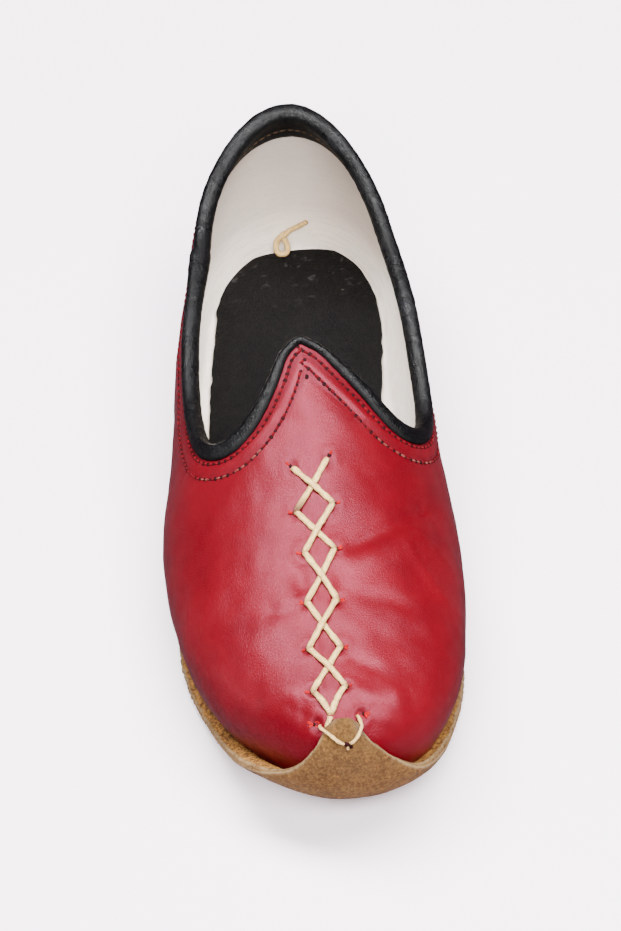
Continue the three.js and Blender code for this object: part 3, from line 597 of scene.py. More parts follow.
# upper: red leather outside, pale lining inside
holeRows = (  # lacing holes: u and x on the outer side, u and x on the inner side
    (147.1, -7.3, 145.6, 3.8), (162, -7.4, 160.7, 4.4), (176.5, -5.8, 176.2, 3.6), (193.8, -6.4, 193.8, 2.9),
    (210.1, -7, 210.6, 2.8), (225.3, -6.8, 224.6, 3.2), (235.2, -6.6, 233.8, 7.2))
upper = {
    "leather": 1.2, "quarter": (112, 16, 18), "flap": (26, 30), "vamp": (92, 16, 18, 30), "spread": 1.6,
    "lumps": ((0.16, 26, 3), (0.07, 9, 4)), "foldEnds": (0.3, 0.12), "topFrom": (-0.1, 0.3),
    "pad": (0.5, 7.2, 2.0), "groove": (0.28, 9.6, 1.1), "veeFrom": (100, 14), "padBehind": 0.6,
    # painted shade along the stitch grooves and under the binding's edge
    "shaded": ((0.55, 9.6, 0.8), (0.5, 4.6, 0.9), (0.7, 0, 3.2)),  # share, distance from the edge, width
    "brim": (0.25, 2.6, 1.3), "dent": (0.9, 1.5), "dentShade": (0.6, 1.9),
    # the dents round the lacing holes also get painted shade
    "foot": (-0.55, 0.45), "footLumps": ((0.14, 7, 8), (0.1, 3.5, 9)), "footAlong": (120, 60),
    # painted shade along the lowest part of the upper, where it tucks under the bulge
    "footShade": (0.45, -0.8, 0.2), "toeCalm": 0.12, "foldUnder": 0.2, "rawEdge": 22,
    "folds": (  # half width and height in millimetres, then the plan (x, u) of each soft fold
        (2.4, -1.15, ((5.5, 177.5), (10, 174.5), (16, 170.6), (22, 166.6), (28.6, 160.5), (35, 153),
                      (40, 144))),
        (4.0, 0.7, ((6, 184), (15, 179), (23, 174), (30, 167.5), (36, 159))),
        (1.25, 0.42, ((24.5, 166), (27.5, 174.4), (30.8, 179), (34.5, 184), (38.5, 189.5))),
        (3.0, -0.22, ((27, 179), (31, 185), (35, 191), (37, 198))),
        (2.8, -0.75, ((-7.3, 179), (-8, 186), (-6.6, 192))),
        (2.4, -0.6, ((4.2, 181), (4.8, 189), (3.6, 198))),
        (1.5, -0.28, ((7.2, 233.5), (11.6, 231.8), (17, 232.4), (21.5, 233.6))),
        (1.8, -0.2, ((8.5, 236.3), (12.7, 237), (18, 238.2))),
        (1.6, -0.4, ((-8, 234.3), (-11.5, 231), (-16, 228))),
        (6.0, -0.45, ((-12, 150), (-24, 156), (-33, 166))),
        (5.5, -0.4, ((-14, 196), (-26, 192), (-36, 184))),
        (5.0, -0.4, ((10, 205), (22, 208), (32, 203))),
        (2.6, -0.36, ((6, 191.5), (15.8, 193), (24, 194.5), (32, 197.5))),
        (2.2, -0.36, ((3.9, 212.3), (8.5, 216.4), (15.5, 219.8))),
        (2.4, -0.32, ((-6.4, 194.3), (-13.1, 195.7), (-20.5, 195.4))),
        (6.0, 0.9, ((4, 228.5), (13, 229), (23, 227))),
        (6.0, 0.7, ((-9, 226), (-16, 225), (-25, 221.5))))}
lining = {"quarter": (64, 9, 10), "flap": (16, 16), "vamp": (48, 9, 10, 16), "ripple": ((0.12, 18, 12),),
          "gap": 0.06, "footIn": 0.25, "footOut": 0.02, "margin": 13.0, "marginSteps": (0.3, 0.65, 1.0),
          "marginSpan": (22, 214), "marginMost": 0.8, "marginLift": 0.22, "marginThick": 0.24,
          # the top of the lining is painted darker as painted shade
          "dust": (-0.75, 0.3, 0.6), "liningTopShade": (-0.6, 0.9)}


def upperSheet(sizes):  # turn, side and rise of each point, with welded faces
    quarter, flap, vamp = sizes["quarter"], sizes["flap"], sizes["vamp"]

    def easeOut(count):
        return 1 - (1 - np.linspace(0, 1, count + 1)) ** upper["spread"]

    dipTurn, peakTurn = float(collar.turn(collar.dip)), float(collar.turn(collar.peak))
    turns, sides, rises, faces, start = [], [], [], [], 0
    for side in (1, -1):
        dipRise = float(collar.shares[side](collar.dip))
        turn = dipTurn * easeOut(quarter[0])
        edge = collar.shares[side](collar.measureAt(turn, collar.heel, collar.dip))
        edge[-1] = dipRise
        low = np.tile(np.linspace(-1, 0, quarter[1] + 1), (len(turn), 1))
        patches = [(turn, np.concatenate([low, edge[:, None] * np.linspace(0, 1, quarter[2] + 1)[1:]], 1))]
        turn = mix(peakTurn, dipTurn, easeOut(flap[0]))
        edge = collar.shares[side](collar.measureAt(turn, collar.peak, collar.dip))
        edge[0], edge[-1] = 1, dipRise
        patches.append((turn, mix(edge[:, None], 1, np.linspace(0, 1, flap[1] + 1))))
        turn = np.linspace(dipTurn, math.pi, vamp[0] + 1)
        column = np.concatenate([np.linspace(-1, 0, vamp[1] + 1), np.linspace(0, dipRise, vamp[2] + 1)[1:],
                                 np.linspace(dipRise, 1, vamp[3] + 1)[1:]])
        patches.append((turn, np.tile(column, (len(turn), 1))))
        for turn, rise in patches:
            turns.append(np.repeat(turn, rise.shape[1]))
            rises.append(rise.reshape(-1))
            sides.append(np.full(rise.size, float(side)))
            faces.append(gridFaces(*rise.shape, start, side < 0))
            start += rise.size
    turn, side, rise = np.concatenate(turns), np.concatenate(sides), np.concatenate(rises)
    first, rings = weld(outerPoint(turn, side, rise), np.vstack(faces))
    return turn[first], side[first], rise[first], rings


def alongPath(points, path):  # distance to a path in plan, and how far along it
    path = np.asarray(path, float)
    best, share = np.full(len(points), 1e9), np.zeros(len(points))
    for i in range(len(path) - 1):
        a, d = path[i], path[i + 1] - path[i]
        t = np.clip(((points - a) @ d) / (d @ d), 0, 1)
        gap = np.linalg.norm(points - a - t[:, None] * d, axis=1)
        near = gap < best
        best, share = np.where(near, gap, best), np.where(near, (i + t) / (len(path) - 1), share)
    return best, share


def collarGap(points, count=400, chunk=8):  # straight distance to the collar edge
    s = np.linspace(collar.heel, collar.peak, count)
    cloud = np.vstack([collar.edge(side, s) for side in (1, -1)])
    gap = np.full(len(points), 1e9)
    for i in range(0, len(cloud), chunk):
        gap = np.minimum(gap, np.linalg.norm(points[:, None] - cloud[None, i:i + chunk], axis=2).min(1))
    return gap


def makeUpper():
    turn, side, rise, faces = upperSheet(upper)
    base, normal = outerPoint(turn, side, rise), outerNormal(turn, side, rise)
    plan = base[:, :2]
    top = ease((rise - upper["topFrom"][0]) / upper["topFrom"][1])
    lift = lumps(base, upper["lumps"])
    for wide, high, path in upper["folds"]:
        gap, share = alongPath(plan, path)
        ends = ease(np.minimum(share, 1 - share) / upper["foldEnds"][0] + upper["foldEnds"][1])
        lift += high * bell(gap, wide) * ends * top
    gap = collarGap(base)
    (padHigh, padAt, padWide), (deep, grooveAt, grooveWide) = upper["pad"], upper["groove"]
    vee = ease((base[:, 1] - upper["veeFrom"][0]) / upper["veeFrom"][1])
    padded = padHigh * bell(gap - padAt, padWide) - deep * bell(gap - grooveAt, grooveWide)
    lift += padded * mix(upper["padBehind"], 1, vee)  # padded between the rows
    # painted shade: the stitch grooves, the collar edge, the hole dents and the tucked-under foot are
    # darkened
    paintedShade = sum(share * bell(gap - at, wide) for share, at, wide in upper["shaded"])
    (brimHigh, brimAt, brimWide), (dentDeep, dentWide) = upper["brim"], upper["dent"]
    for outerU, outerX, innerU, innerX in holeRows:
        for u, x in ((outerU, outerX), (innerU, innerX)):
            away = np.linalg.norm(plan - np.array([x, u]), axis=1)
            lift += (brimHigh * bell(away - brimAt, brimWide) - dentDeep * bell(away, dentWide)) * top
            paintedShade += upper["dentShade"][0] * bell(away, upper["dentShade"][1]) * top
    foot = ease((upper["foot"][0] - rise) / upper["foot"][1])
    forward = ease((base[:, 1] - upper["footAlong"][0]) / upper["footAlong"][1])
    lift += foot * lumps(base, upper["footLumps"]) * forward
    footShare, footFrom, footOver = upper["footShade"]
    paintedShade += footShare * ease((footFrom - rise) / footOver)
    lift *= ease((math.pi - turn) / upper["toeCalm"])
    outer = base + normal * lift[:, None]
    inner = base - normal * upper["leather"]
    lowest = np.maximum(inner[:, 2], base[:, 2] - upper["foldUnder"])
    inner[:, 2] = np.where(rise <= -last["limit"], lowest, inner[:, 2])
    points, rings = shellOf(outer, inner, faces)
    raw = bell((rise + 1) * upper["rawEdge"], 1.0)
    attributes = {"paintedShade": np.clip(np.tile(paintedShade, 2), 0, 1), "rawEdge": np.tile(raw, 2)}
    piece = addPiece("upperLeather", points, rings, finishes["redLeather"], attributes)
    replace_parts(piece, "upper")
    return outer, base, faces


def makeLining():
    turn, side, rise, faces = upperSheet(lining)
    base, normal = outerPoint(turn, side, rise), outerNormal(turn, side, rise)
    ripple = lumps(base, lining["ripple"])
    outer = base - normal * (upper["leather"] + lining["gap"])
    inner = base - normal * (last["wall"] - ripple[:, None] / 2)
    foot = rise <= -last["limit"]
    inner[foot, 2], outer[foot, 2] = base[foot, 2] + lining["footIn"], base[foot, 2] - lining["footOut"]
    ids = np.where(foot)[0]  # the lasting margin, turned in under the sock
    loop = sorted((i for i in ids if side[i] > 0), key=lambda i: turn[i])
    loop += sorted((i for i in ids if side[i] < 0), key=lambda i: -turn[i])
    outerRows, innerRows, extra, start = [outer], [inner], [], len(outer)
    previous = loop
    for step in lining["marginSteps"]:
        p = inner[loop].copy()
        middle = np.stack([0 * p[:, 0], np.clip(p[:, 1], *lining["marginSpan"]), p[:, 2]], -1)
        way = (middle - p)[:, :2]
        reach = np.minimum(lining["margin"] * step, np.linalg.norm(way, axis=1) * lining["marginMost"])
        p[:, :2] += unit(way) * reach[:, None]
        p[:, 2] = seatAt(np.clip(p[:, 1], 0, last["length"])) + lining["marginLift"]
        innerRows.append(p)
        outerRows.append(p - np.array([0, 0, lining["marginThick"]]))
        row = list(range(start, start + len(p)))
        start += len(p)
        extra += [[previous[i - 1], row[i - 1], row[i], previous[i]] for i in range(len(loop))]
        previous = row
    points, rings = shellOf(np.vstack(outerRows), np.vstack(innerRows), faces + extra)
    dustFrom, dustOver, dustUnder = lining["dust"]
    dust = np.concatenate([ease((dustFrom - rise) / dustOver), np.full(start - len(outer), dustUnder)])
    # painted shade towards the top of the lining
    liningTopShade = ease((rise - lining["liningTopShade"][0]) / lining["liningTopShade"][1])
    liningTopShade = np.concatenate([liningTopShade, np.zeros(start - len(outer))])
    addPiece("upperLining", points, rings, finishes["lining"],
             {"dust": np.tile(dust, 2), "liningTopShade": np.tile(liningTopShade, 2)})


leatherPoints, leatherBase, leatherFaces = makeUpper()
makeLining()
print("upper made")


# collar binding: black strip folded over the edge, its ends lapped on the outer side
binding = {
    "rings": (210, 90), "outer": 3.0, "inner": 8.0, "peak": 1.6, "dip": 4.6, "roll": 1.6, "peakOver": 26,
    "dipOver": 13, "heelOver": 48, "innerHeel": 10.8, "innerSide": 10.6,
    "lapAt": 57.0, "lapHigh": 0.85, "lapRise": 0.9, "lapFlat": 3, "lapLong": 16.0,
    "lumps": ((0.06, 4.2, 21), (0.035, 1.9, 22)), "core": -0.2,
    "names": "outer inner roll shift wall out lap skin bead",
    "section": (  # shares of both legs, roll and wall, with millimetres of shift and out
        (1, 0, 0, 0, 0, 0.12, 0, 1, 0), (1, 0, 0, -0.08, 0, 0.62, 1, 1, 0),
        (0.86, 0, 0, 0, 0, 1.12, 1, 1, 0), (0.66, 0, 0, 0, 0, 1.5, 1, 1, 1),
        (0.4, 0, 0, 0, 0, 1.75, 1, 1, 1), (0.12, 0, 0, 0, 0, 1.85, 1, 1, 1),
        (0, 0, 0, -0.5, 0, 1.6, 1, 1, 1), (0, 0, -0.62, 0, 0, 0.95, 1, 1, 1),
        (0, 0, -0.9, 0, 0, 0.1, 1, 1, 1), (0, 0, -1, 0, -0.5, 0, -0.5, 1, 1),
        (0, 0, -0.9, 0, -1, -0.1, -0.5, 1, 1), (0, 0, -0.62, 0, -1, -0.95, -0.5, 1, 1),
        (0, 0, 0, -0.4, -1, -1.55, -0.5, 1, 0), (0, 0.1, 0, 0, -1, -1.75, -0.5, 1, 0),
        (0, 0.3, 0, 0, -1, -1.55, -0.5, 1, 0), (0, 0.5, 0, 0, -1, -1.4, -0.5, 1, 0),
        (0, 0.7, 0, 0, -1, -1.35, -0.5, 1, 0), (0, 0.88, 0, 0, -1, -1.2, -0.5, 1, 0),
        (0, 1, 0, -0.1, -1, -0.8, -0.5, 1, 0), (0, 1, 0, 0, -1, -0.35, 0, 0, 0),
        (0, 0.5, 0, 0, -1, -0.35, 0, 0, 0), (0, 0, 0, -0.25, -1, -0.35, 0, 0, 0),
        (0, 0, 0, -0.25, 0, 0.35, 0, 0, 0), (0.5, 0, 0, 0, 0, 0.21, 0, 0, 0))}


def bindingLegs(side, s):
    near = ease((collar.peak - s) / binding["peakOver"])
    outerLeg = mix(binding["peak"], binding["outer"], near)
    outerLeg = mix(outerLeg, binding["dip"], bell(s - collar.dip, binding["dipOver"]))
    innerLeg = binding["innerSide"] if side > 0 else binding["inner"]
    innerLeg = mix(innerLeg, binding["innerHeel"], bell(s - collar.heel, binding["heelOver"]))
    return outerLeg, mix(binding["peak"], innerLeg, near)


def makeBinding():
    heelPart = steps(collar.heel, collar.dip, binding["rings"][0])
    spots = np.concatenate([heelPart, np.linspace(collar.dip, collar.peak, binding["rings"][1])[1:]])
    section = dict(zip(binding["names"].split(), np.array(binding["section"], float).T))
    thick = section["wall"] * last["wall"] + section["out"]
    rings = {}
    for side in (1, -1):
        outerLeg, innerLeg = (v[:, None] for v in bindingLegs(side, spots))
        depth = outerLeg * section["outer"] + innerLeg * section["inner"]
        depth = depth + section["roll"] * binding["roll"] + section["shift"]
        lap = np.zeros(len(spots))
        if side < 0:  # one end laid over the other
            past = spots - collar.heel - binding["lapAt"]
            lap = binding["lapHigh"] * ease(past / binding["lapRise"])
            lap = lap * (1 - ease((past - binding["lapFlat"]) / binding["lapLong"]))
        out = thick + section["lap"] * lap[:, None]
        ring = collarSpot(side, spots, depth, out)
        middle = collarSpot(side, spots, depth * 0 + binding["core"], out * 0 - last["wall"] / 2)
        uneven = lumps(ring, binding["lumps"]) * section["skin"]
        rings[side] = ring + unit(ring - middle) * uneven[..., None]
    loop = np.concatenate([rings[1], rings[-1][::-1][1:-1]])
    loop[len(spots) - 1] = (rings[1][-1] + rings[-1][-1]) / 2
    loop[0] = (rings[1][0] + rings[-1][0]) / 2
    count, sides = loop.shape[:2]
    piece = addPiece("collarBinding", loop.reshape(-1, 3), tubeFaces(count, sides, True),
                     finishes["blackLeather"], {"bead": np.tile(section["bead"], count)})
    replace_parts(piece, "collar_binding")


makeBinding()
print("binding made")


# sole: one hide sheet from the heel round the toe to the tab
sole = {
    "thick": 4.7, "tabThick": 3.2, "thinning": (228, 26), "start": 0.5, "end": 271, "heelRound": 40,
    "heelPower": 2.1, "tabRound": 4, "tabPower": 2.4, "runs": 300, "heelRuns": 46, "tipRuns": 9,
    "tipSpread": 1.8, "shares": 44, "lineSteps": (401, 81, 71), "backTo": 224, "linePast": 2,
    "bendStep": 0.5, "runStep": 0.4, "shareStep": 0.05, "closed": (3, 0.01), "flatUntil": 120,
    "rag": 0.38, "ragWaves": ((0.7, 9, 31), (0.6, 3.2, 32), (0.35, 1.4, 33)), "ragFade": (235, 20, 0.55),
    "ragPower": 6, "ragApart": 40, "rimFrom": (165, 25), "rimUntil": (244, 6),
    "slope": (3.2, 1.5), "ridge": (5.4, 2.4, 1.0),
    "calmPasses": 40, "calmFrom": (228, 10), "calmUntil": (254, 8),
    "clear": 0.45, "reach": 5.0, "pushFrom": 150, "pushSpread": 6, "pushSoften": 24,
    "edgePower": 14, "edgeTop": 0.35, "edgeUnder": 0.5, "dimples": ((0.07, 12, 34),), "dimplesFrom": 190,
    "wallShares": (0.2, 0.4, 0.6, 0.8), "wallTones": (0.75, 0.3, 0.3, 0.75), "bulge": 0.35,
    "fray": (0.16, 2.4, 40), "frayApart": 9, "bulgeOver": 8,
    # painted shade round the tab tip's edge, then ground wear along the under face
    "cutWide": 0.8, "cutTone": (0.95, 1.5), "tipShade": (265, 3, 1.5, 1.7), "groundWearAndTipShade": (200, 25, 0.85),
    "names": "inner outer middle curl loose",
    "rows": (
        (0, 28.6, 31.5, 0, 0, 0.3), (40, 30.4, 34.8, 0, 0, 0.3), (75, 29, 39, 0, 0, 0.3),
        (106, 31, 41, 0, 0, 0.3), (140, 36.8, 45.6, 0, 0, 0.3), (165, 39.4, 47.4, 0, 0, 0.3),
        (187, 40.4, 44.8, 0, 0, 0.3), (207, 37.4, 39.2, 0.3, 0.002, 0.4),
        (227, 30.4, 33.2, 1.3, 0.011, 1.0), (236, 25.6, 29.6, 2.2, 0.019, 1.6),
        (242, 21.9, 25.6, 2.8, 0.027, 2.1), (246, 19.3, 21.8, 3, 0.035, 2.3),
        (250, 17.2, 18.8, 2.9, 0.04, 2.2), (255, 14.1, 15.4, 2.4, 0.04, 1.6),
        (261, 10.3, 10.5, 1.5, 0.033, 0.7), (267, 5.8, 5.6, 1.1, 0.03, 0.4), (271, 4.3, 4.3, 1.5, 0.03, 0.3))}
soleColumns = columnsOf(sole["names"], sole["rows"])


def soleLine():  # the sole's middle line: under the last, round the tip and back over it
    under, over, knots = sole["lineSteps"]
    u = lengthOf(np.linspace(0, math.pi, under))
    back = lengthOf(np.linspace(math.pi, turnOf(sole["backTo"]), over)[1:])
    ridge = sectionAt(back, np.ones_like(back))["ridge"]
    path = np.vstack([np.stack([u, seatAt(u)], -1), np.stack([back, ridge], -1)])
    run = runAlong(path)
    spots = np.linspace(0, min(run[-1], sole["end"] + sole["linePast"]), knots)
    return [Curve(spots, np.interp(spots, run, path[:, i])) for i in (0, 1)]


soleU, soleZ = soleLine()


def soleHalf(run, share):
    return np.where(share > 0, soleColumns["inner"](run), soleColumns["outer"](run))


def solePoint(run, share, rag=0.0):
    run, share = np.broadcast_arrays(np.asarray(run, float), np.asarray(share, float))
    tu, tz = (line(run + sole["bendStep"]) - line(run - sole["bendStep"]) for line in (soleU, soleZ))
    length = np.hypot(tu, tz)
    ends = closing(1 - (run - sole["start"]) / sole["heelRound"], sole["heelPower"])
    ends = ends * closing((run - sole["end"] + sole["tabRound"]) / sole["tabRound"], sole["tabPower"])
    off = share * (soleHalf(run, share) * ends)
    off = off + np.sign(share) * np.abs(share) ** sole["ragPower"] * rag * ends
    sag = soleColumns["curl"](run) * off * off / 2 - soleColumns["loose"](run)
    x = soleColumns["middle"](run) + off
    return np.stack([x, soleU(run) - tz / length * sag, soleZ(run) + tu / length * sag], -1)


def soleOutward(run, share):
    run, share = np.broadcast_arrays(np.asarray(run, float), np.asarray(share, float))
    step, narrow = sole["shareStep"], sole["closed"]
    side = solePoint(run, np.minimum(share + step, 1)) - solePoint(run, np.maximum(share - step, -1))
    closed = (run < sole["start"] + narrow[0]) | (np.linalg.norm(side, axis=-1) < narrow[1])
    spot = np.where(closed, 0, share)
    along = solePoint(run + sole["runStep"], spot) - solePoint(run - sole["runStep"], spot)
    out = unit(np.cross(along, np.where(closed[..., None], np.array([1.0, 0, 0]), side)))
    down = ((run < sole["flatUntil"]) & (out[..., 2] > 0))[..., None]
    return np.where(down, -out, out)


def calmCorners(sheet, run):  # evens out the turn from rim to tab along the sole
    soft = sheet
    for _ in range(sole["calmPasses"]):
        wide = np.pad(soft, ((1, 1), (0, 0), (0, 0)), mode="edge")
        soft = (wide[:-2] + 2 * wide[1:-1] + wide[2:]) / 4
    (start, startOver), (stop, stopOver) = sole["calmFrom"], sole["calmUntil"]
    share = ease((run - start) / startOver) * (1 - ease((run - stop) / stopOver))
    return mix(sheet, soft, share[..., None])


def offLeather(top, outward, run):  # how far the rim and tab are pushed off the leather
    tree = BVHTree.FromPolygons([Vector(p) for p in leatherBase.tolist()], leatherFaces)
    moved = np.zeros(top.shape)
    for i, j in np.argwhere(run > sole["pushFrom"]):
        spot, normal, _, gap = tree.find_nearest(Vector(top[i, j]))
        normal = np.array(normal)
        if normal @ outward[i, j] < 0:
            normal = -normal
        short = sole["clear"] - (top[i, j] - np.array(spot)) @ normal
        if short > 0 and gap < sole["reach"]:
            moved[i, j] = normal * short
    for _ in range(sole["pushSpread"]):  # spread the push so that the sheet stays smooth
        around = aroundMean(moved)
        there, here = (np.linalg.norm(push, axis=-1, keepdims=True) for push in (around, moved))
        moved = np.where(there > here, around, moved)
    for _ in range(sole["pushSoften"]):
        moved = aroundMean(moved)
    return moved


def soleSheets(run, share):  # the two faces of the hide
    line = np.stack([run, np.sign(share) * sole["ragApart"]], -1)
    ragFrom, ragOver, ragLeft = sole["ragFade"]
    rag = sole["rag"] * lumps(line, sole["ragWaves"]) * mix(1, ragLeft, ease((run - ragFrom) / ragOver))
    outward = soleOutward(run, share)
    inset = soleHalf(run, share) * (1 - np.abs(share))
    (start, startOver), (stop, stopOver) = sole["rimFrom"], sole["rimUntil"]
    rim = ease((run - start) / startOver) * (1 - ease((run - stop) / stopOver))
    (slopeWide, slopeDeep), (ridgeAt, ridgeWide, ridgeHigh) = sole["slope"], sole["ridge"]
    fall = slopeDeep * np.clip(1 - inset / slopeWide, 0, 1) - ridgeHigh * bell(inset - ridgeAt, ridgeWide)
    top = calmCorners(solePoint(run, share, rag) + outward * (rim * fall)[..., None], run)
    flat, outward = calmCorners(solePoint(run, share), run), unit(calmCorners(outward, run))
    moved = offLeather(top, outward, run)
    thinFrom, thinOver = sole["thinning"]
    thick = mix(sole["thick"], sole["tabThick"], np.clip((run - thinFrom) / thinOver, 0, 1))
    under = flat + moved + outward * thick[..., None]
    edge = np.abs(share) ** sole["edgePower"]
    top = top + moved + outward * (sole["edgeTop"] * edge)[..., None]
    dimples = lumps(under, sole["dimples"]) * (run > sole["dimplesFrom"])
    under = under - outward * (sole["edgeUnder"] * edge + dimples)[..., None]
    under[..., 2] = np.maximum(under[..., 2], 0)
    for sheet in (top, under):  # the sides meet at both ends
        sheet[[0, -1]] = sheet[[0, -1]].mean(1, keepdims=True)
    return top, under


def soleWall(top, under, runs, sign):  # the cut edge between the two faces, from the top down or back up
    column = -1 if sign > 0 else 0
    pair = (top[:, column], under[:, column]) if sign > 0 else (under[:, column], top[:, column])
    high, size, seed = sole["fray"]
    width = np.minimum(np.abs(top[:, -1, 0] - top[:, 0, 0]) / sole["bulgeOver"], 1)
    rows = []
    for k, share in enumerate(sole["wallShares"]):
        p = mix(*pair, share)
        fray = high * wobble(np.stack([runs, runs * 0 + sole["frayApart"] * k], -1), size, seed + k)
        p[:, 0] += sign * (sole["bulge"] * math.sin(math.pi * share) + fray) * width
        rows.append(p)
    return np.stack(rows, 1)


def soleTones(runs, shares):  # cut edge, top margin painted brighter as painted light, worn ground and painted shade round the tab tip, for each point of the ring
    m, walls = len(shares), len(sole["wallShares"])
    kind = np.concatenate([np.zeros(m), np.ones(walls), np.full(m, 2), np.ones(walls)])[None]
    share = np.concatenate([shares, np.ones(walls), shares[::-1], -np.ones(walls)])[None]
    wallTone = np.concatenate([np.zeros(m), sole["wallTones"], np.zeros(m), sole["wallTones"]])[None]
    run = runs[:, None] + 0 * share
    inset = soleHalf(run, share) * (1 - np.abs(share))  # millimetres in from the cut edge
    near = np.clip(1 - inset / sole["cutWide"], 0, 1)
    cutShare, cutPower = sole["cutTone"]
    cut = np.where(kind == 1, wallTone, near ** cutPower * cutShare)
    # painted shade: a darker outline round the tab tip's edge, added to the ground wear
    tipFrom, tipOver, tipWide, tipShare = sole["tipShade"]
    tip = (kind == 2) * ease((run - tipFrom) / tipOver) * bell(inset, tipWide)
    groundUntil, groundOver, groundLess = sole["groundWearAndTipShade"]
    groundWearAndTipShade = (kind == 2) * (1 - ease((run - groundUntil) / groundOver) * groundLess) + tip * tipShare
    return {"cutEdge": cut * (1 - tip), "shade": (kind == 0) * (1 - near ** 2), "groundWearAndTipShade": groundWearAndTipShade}


def makeSole():
    heel = sole["start"] + sole["heelRound"] * (1 - np.cos(np.linspace(0, math.pi / 2, sole["heelRuns"])))
    tip = sole["end"] - sole["tabRound"] * (1 - np.linspace(0, 1, sole["tipRuns"])[1:]) ** sole["tipSpread"]
    between = sole["runs"] - sole["heelRuns"] - sole["tipRuns"] + 1
    runs = np.concatenate([heel, np.linspace(heel[-1], sole["end"] - sole["tabRound"], between)[1:], tip])
    shares = np.sin(np.linspace(-math.pi / 2, math.pi / 2, sole["shares"]))
    top, under = soleSheets(*np.meshgrid(runs, shares, indexing="ij"))
    innerWall, outerWall = (soleWall(top, under, runs, sign) for sign in (1, -1))
    ring = np.concatenate([top, innerWall, under[:, ::-1], outerWall], 1)
    points = ring.reshape(-1, 3)
    first, rings = weld(points, tubeFaces(*ring.shape[:2]))
    attributes = {name: tone.reshape(-1)[first] for name, tone in soleTones(runs, shares).items()}
    piece = addPiece("soleHide", points[first], rings, finishes["hide"], attributes)
    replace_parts(piece, "outsole")
    return runs, ring


soleRuns, soleRing = makeSole()
print("sole made")


# sock lying in the shoe
sock = {"thick": 2.5, "lift": 0.3, "start": 6.5, "end": 222, "heelRound": 21, "heelPower": 2.8,
        "toeRound": 40, "toePower": 2.2, "stations": 150, "across": 44, "sidePower": 0.5, "topPower": 0.28,
        "wallRise": -0.9, "wallGap": 0.45, "corner": 0.8, "least": 0.05, "calm": 24,
        "rag": ((0.25, 6, 51),), "ragApart": 30, "waves": ((0.18, 22, 52),), "dish": (0.25, 30),
        "names": "inner outer",
        "rows": ((0, 25, 26), (40, 26, 29.2), (60, 24.4, 31.4), (79, 23, 33.4), (106, 25.4, 35.5),
                 (140, 31, 39), (165, 34, 39.6), (190, 33.6, 37), (222, 31, 29))}


def makeSockPiece():
    columns = columnsOf(sock["names"], sock["rows"])
    u = steps(sock["start"], sock["end"], sock["stations"])
    ends = closing(1 - (u - sock["start"]) / sock["heelRound"], sock["heelPower"])
    ends = ends * closing((u - sock["end"] + sock["toeRound"]) / sock["toeRound"], sock["toePower"])
    angle = np.linspace(0, 2 * math.pi, sock["across"] * 2, endpoint=False)
    flat = np.sign(np.cos(angle)) * np.abs(np.cos(angle)) ** sock["sidePower"]
    high = np.sign(np.sin(angle)) * np.abs(np.sin(angle)) ** sock["topPower"]
    halves = {}
    for hand, name in ((1, "inner"), (-1, "outer")):
        wall = np.abs(outerPoint(turnOf(u), hand, sock["wallRise"])[:, 0]) - last["wall"] - sock["wallGap"]
        cut = columns[name](u) * ends
        half = (cut + wall - np.sqrt((cut - wall) ** 2 + sock["corner"])) / 2  # kept inside the walls
        half = np.maximum(half, sock["least"])
        for _ in range(sock["calm"]):
            half[1:-1] = (half[:-2] + half[1:-1] * 2 + half[2:]) / 4
        rag = lumps(np.stack([u, u * 0 + hand * sock["ragApart"]], -1), sock["rag"])
        halves[hand] = half + rag * ends
    x = np.where(flat > 0, halves[1][:, None], halves[-1][:, None]) * flat
    along = u[:, None] + 0 * x
    deep, wide = sock["dish"]
    z = (seatAt(u) + sock["lift"])[:, None] + sock["thick"] / 2 + high * sock["thick"] / 2
    z = z + np.where(high > 0, lumps(np.stack([x, along], -1), sock["waves"]) - deep * (x / wide) ** 2, 0)
    points, faces = roundLoft(np.stack([x, along, z], -1))
    piece = addPiece("innerSock", points, faces, finishes["sock"])
    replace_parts(piece, "insole")


makeSockPiece()
print("sock made")


# thread down the vamp, the tie to the toe tab, and the thread's end in the heel
lacing = {
    "wide": 2.0, "high": 0.85, "steps": 30, "sides": 10, "dive": 2.1, "cross": 0.85, "crossOver": 0.17,
    "underCross": -0.1, "lift": 0.15, "bends": 1.7, "past": 0.05, "swell": (0.1, 3.0, 60),
    # painted shade on the thread's sides and underside is set by the rim entry
    "sway": (0.35, 5, 61), "swayApart": 7.0, "twist": 1.1, "rim": (0.35, 0.6),
    "stainOver": 0.16, "endStain": (0.5, 0.05),
    "meet": (233.4, -1.9), "under": (237.4, -3.6), "crossStain": ((0.95, 0.85),), "meetStain": ((0.05, 0.8),),
    "slot": (263.9, 2.35), "slotWay": (-1.0, 1.6), "slotSunk": 0.25, "stub": (262.7, 2.2),
    "stubSize": (0.85, 0.6), "stubSteps": 8, "stubStain": 0.65, "stubSunk": (1.0, 0.1), "stubArch": 0.2,
    "tieWide": 1.15, "tieHigh": 0.85, "tieSteps": 44, "tieShift": (0.7, 1.1), "tieLift": (-1.4, 0.5),
    "tieEdge": 0.9, "tieEnd": (0.75, 1.6), "tabShare": 0.9,
    "ties": (((268.8, -5.4), (268.1, -4.0), (266.3, -1.6), (264.7, 0.5)),
             ((268.6, 7.0), (268.2, 6.6), (266.5, 5.5), (264.7, 3.7)))}
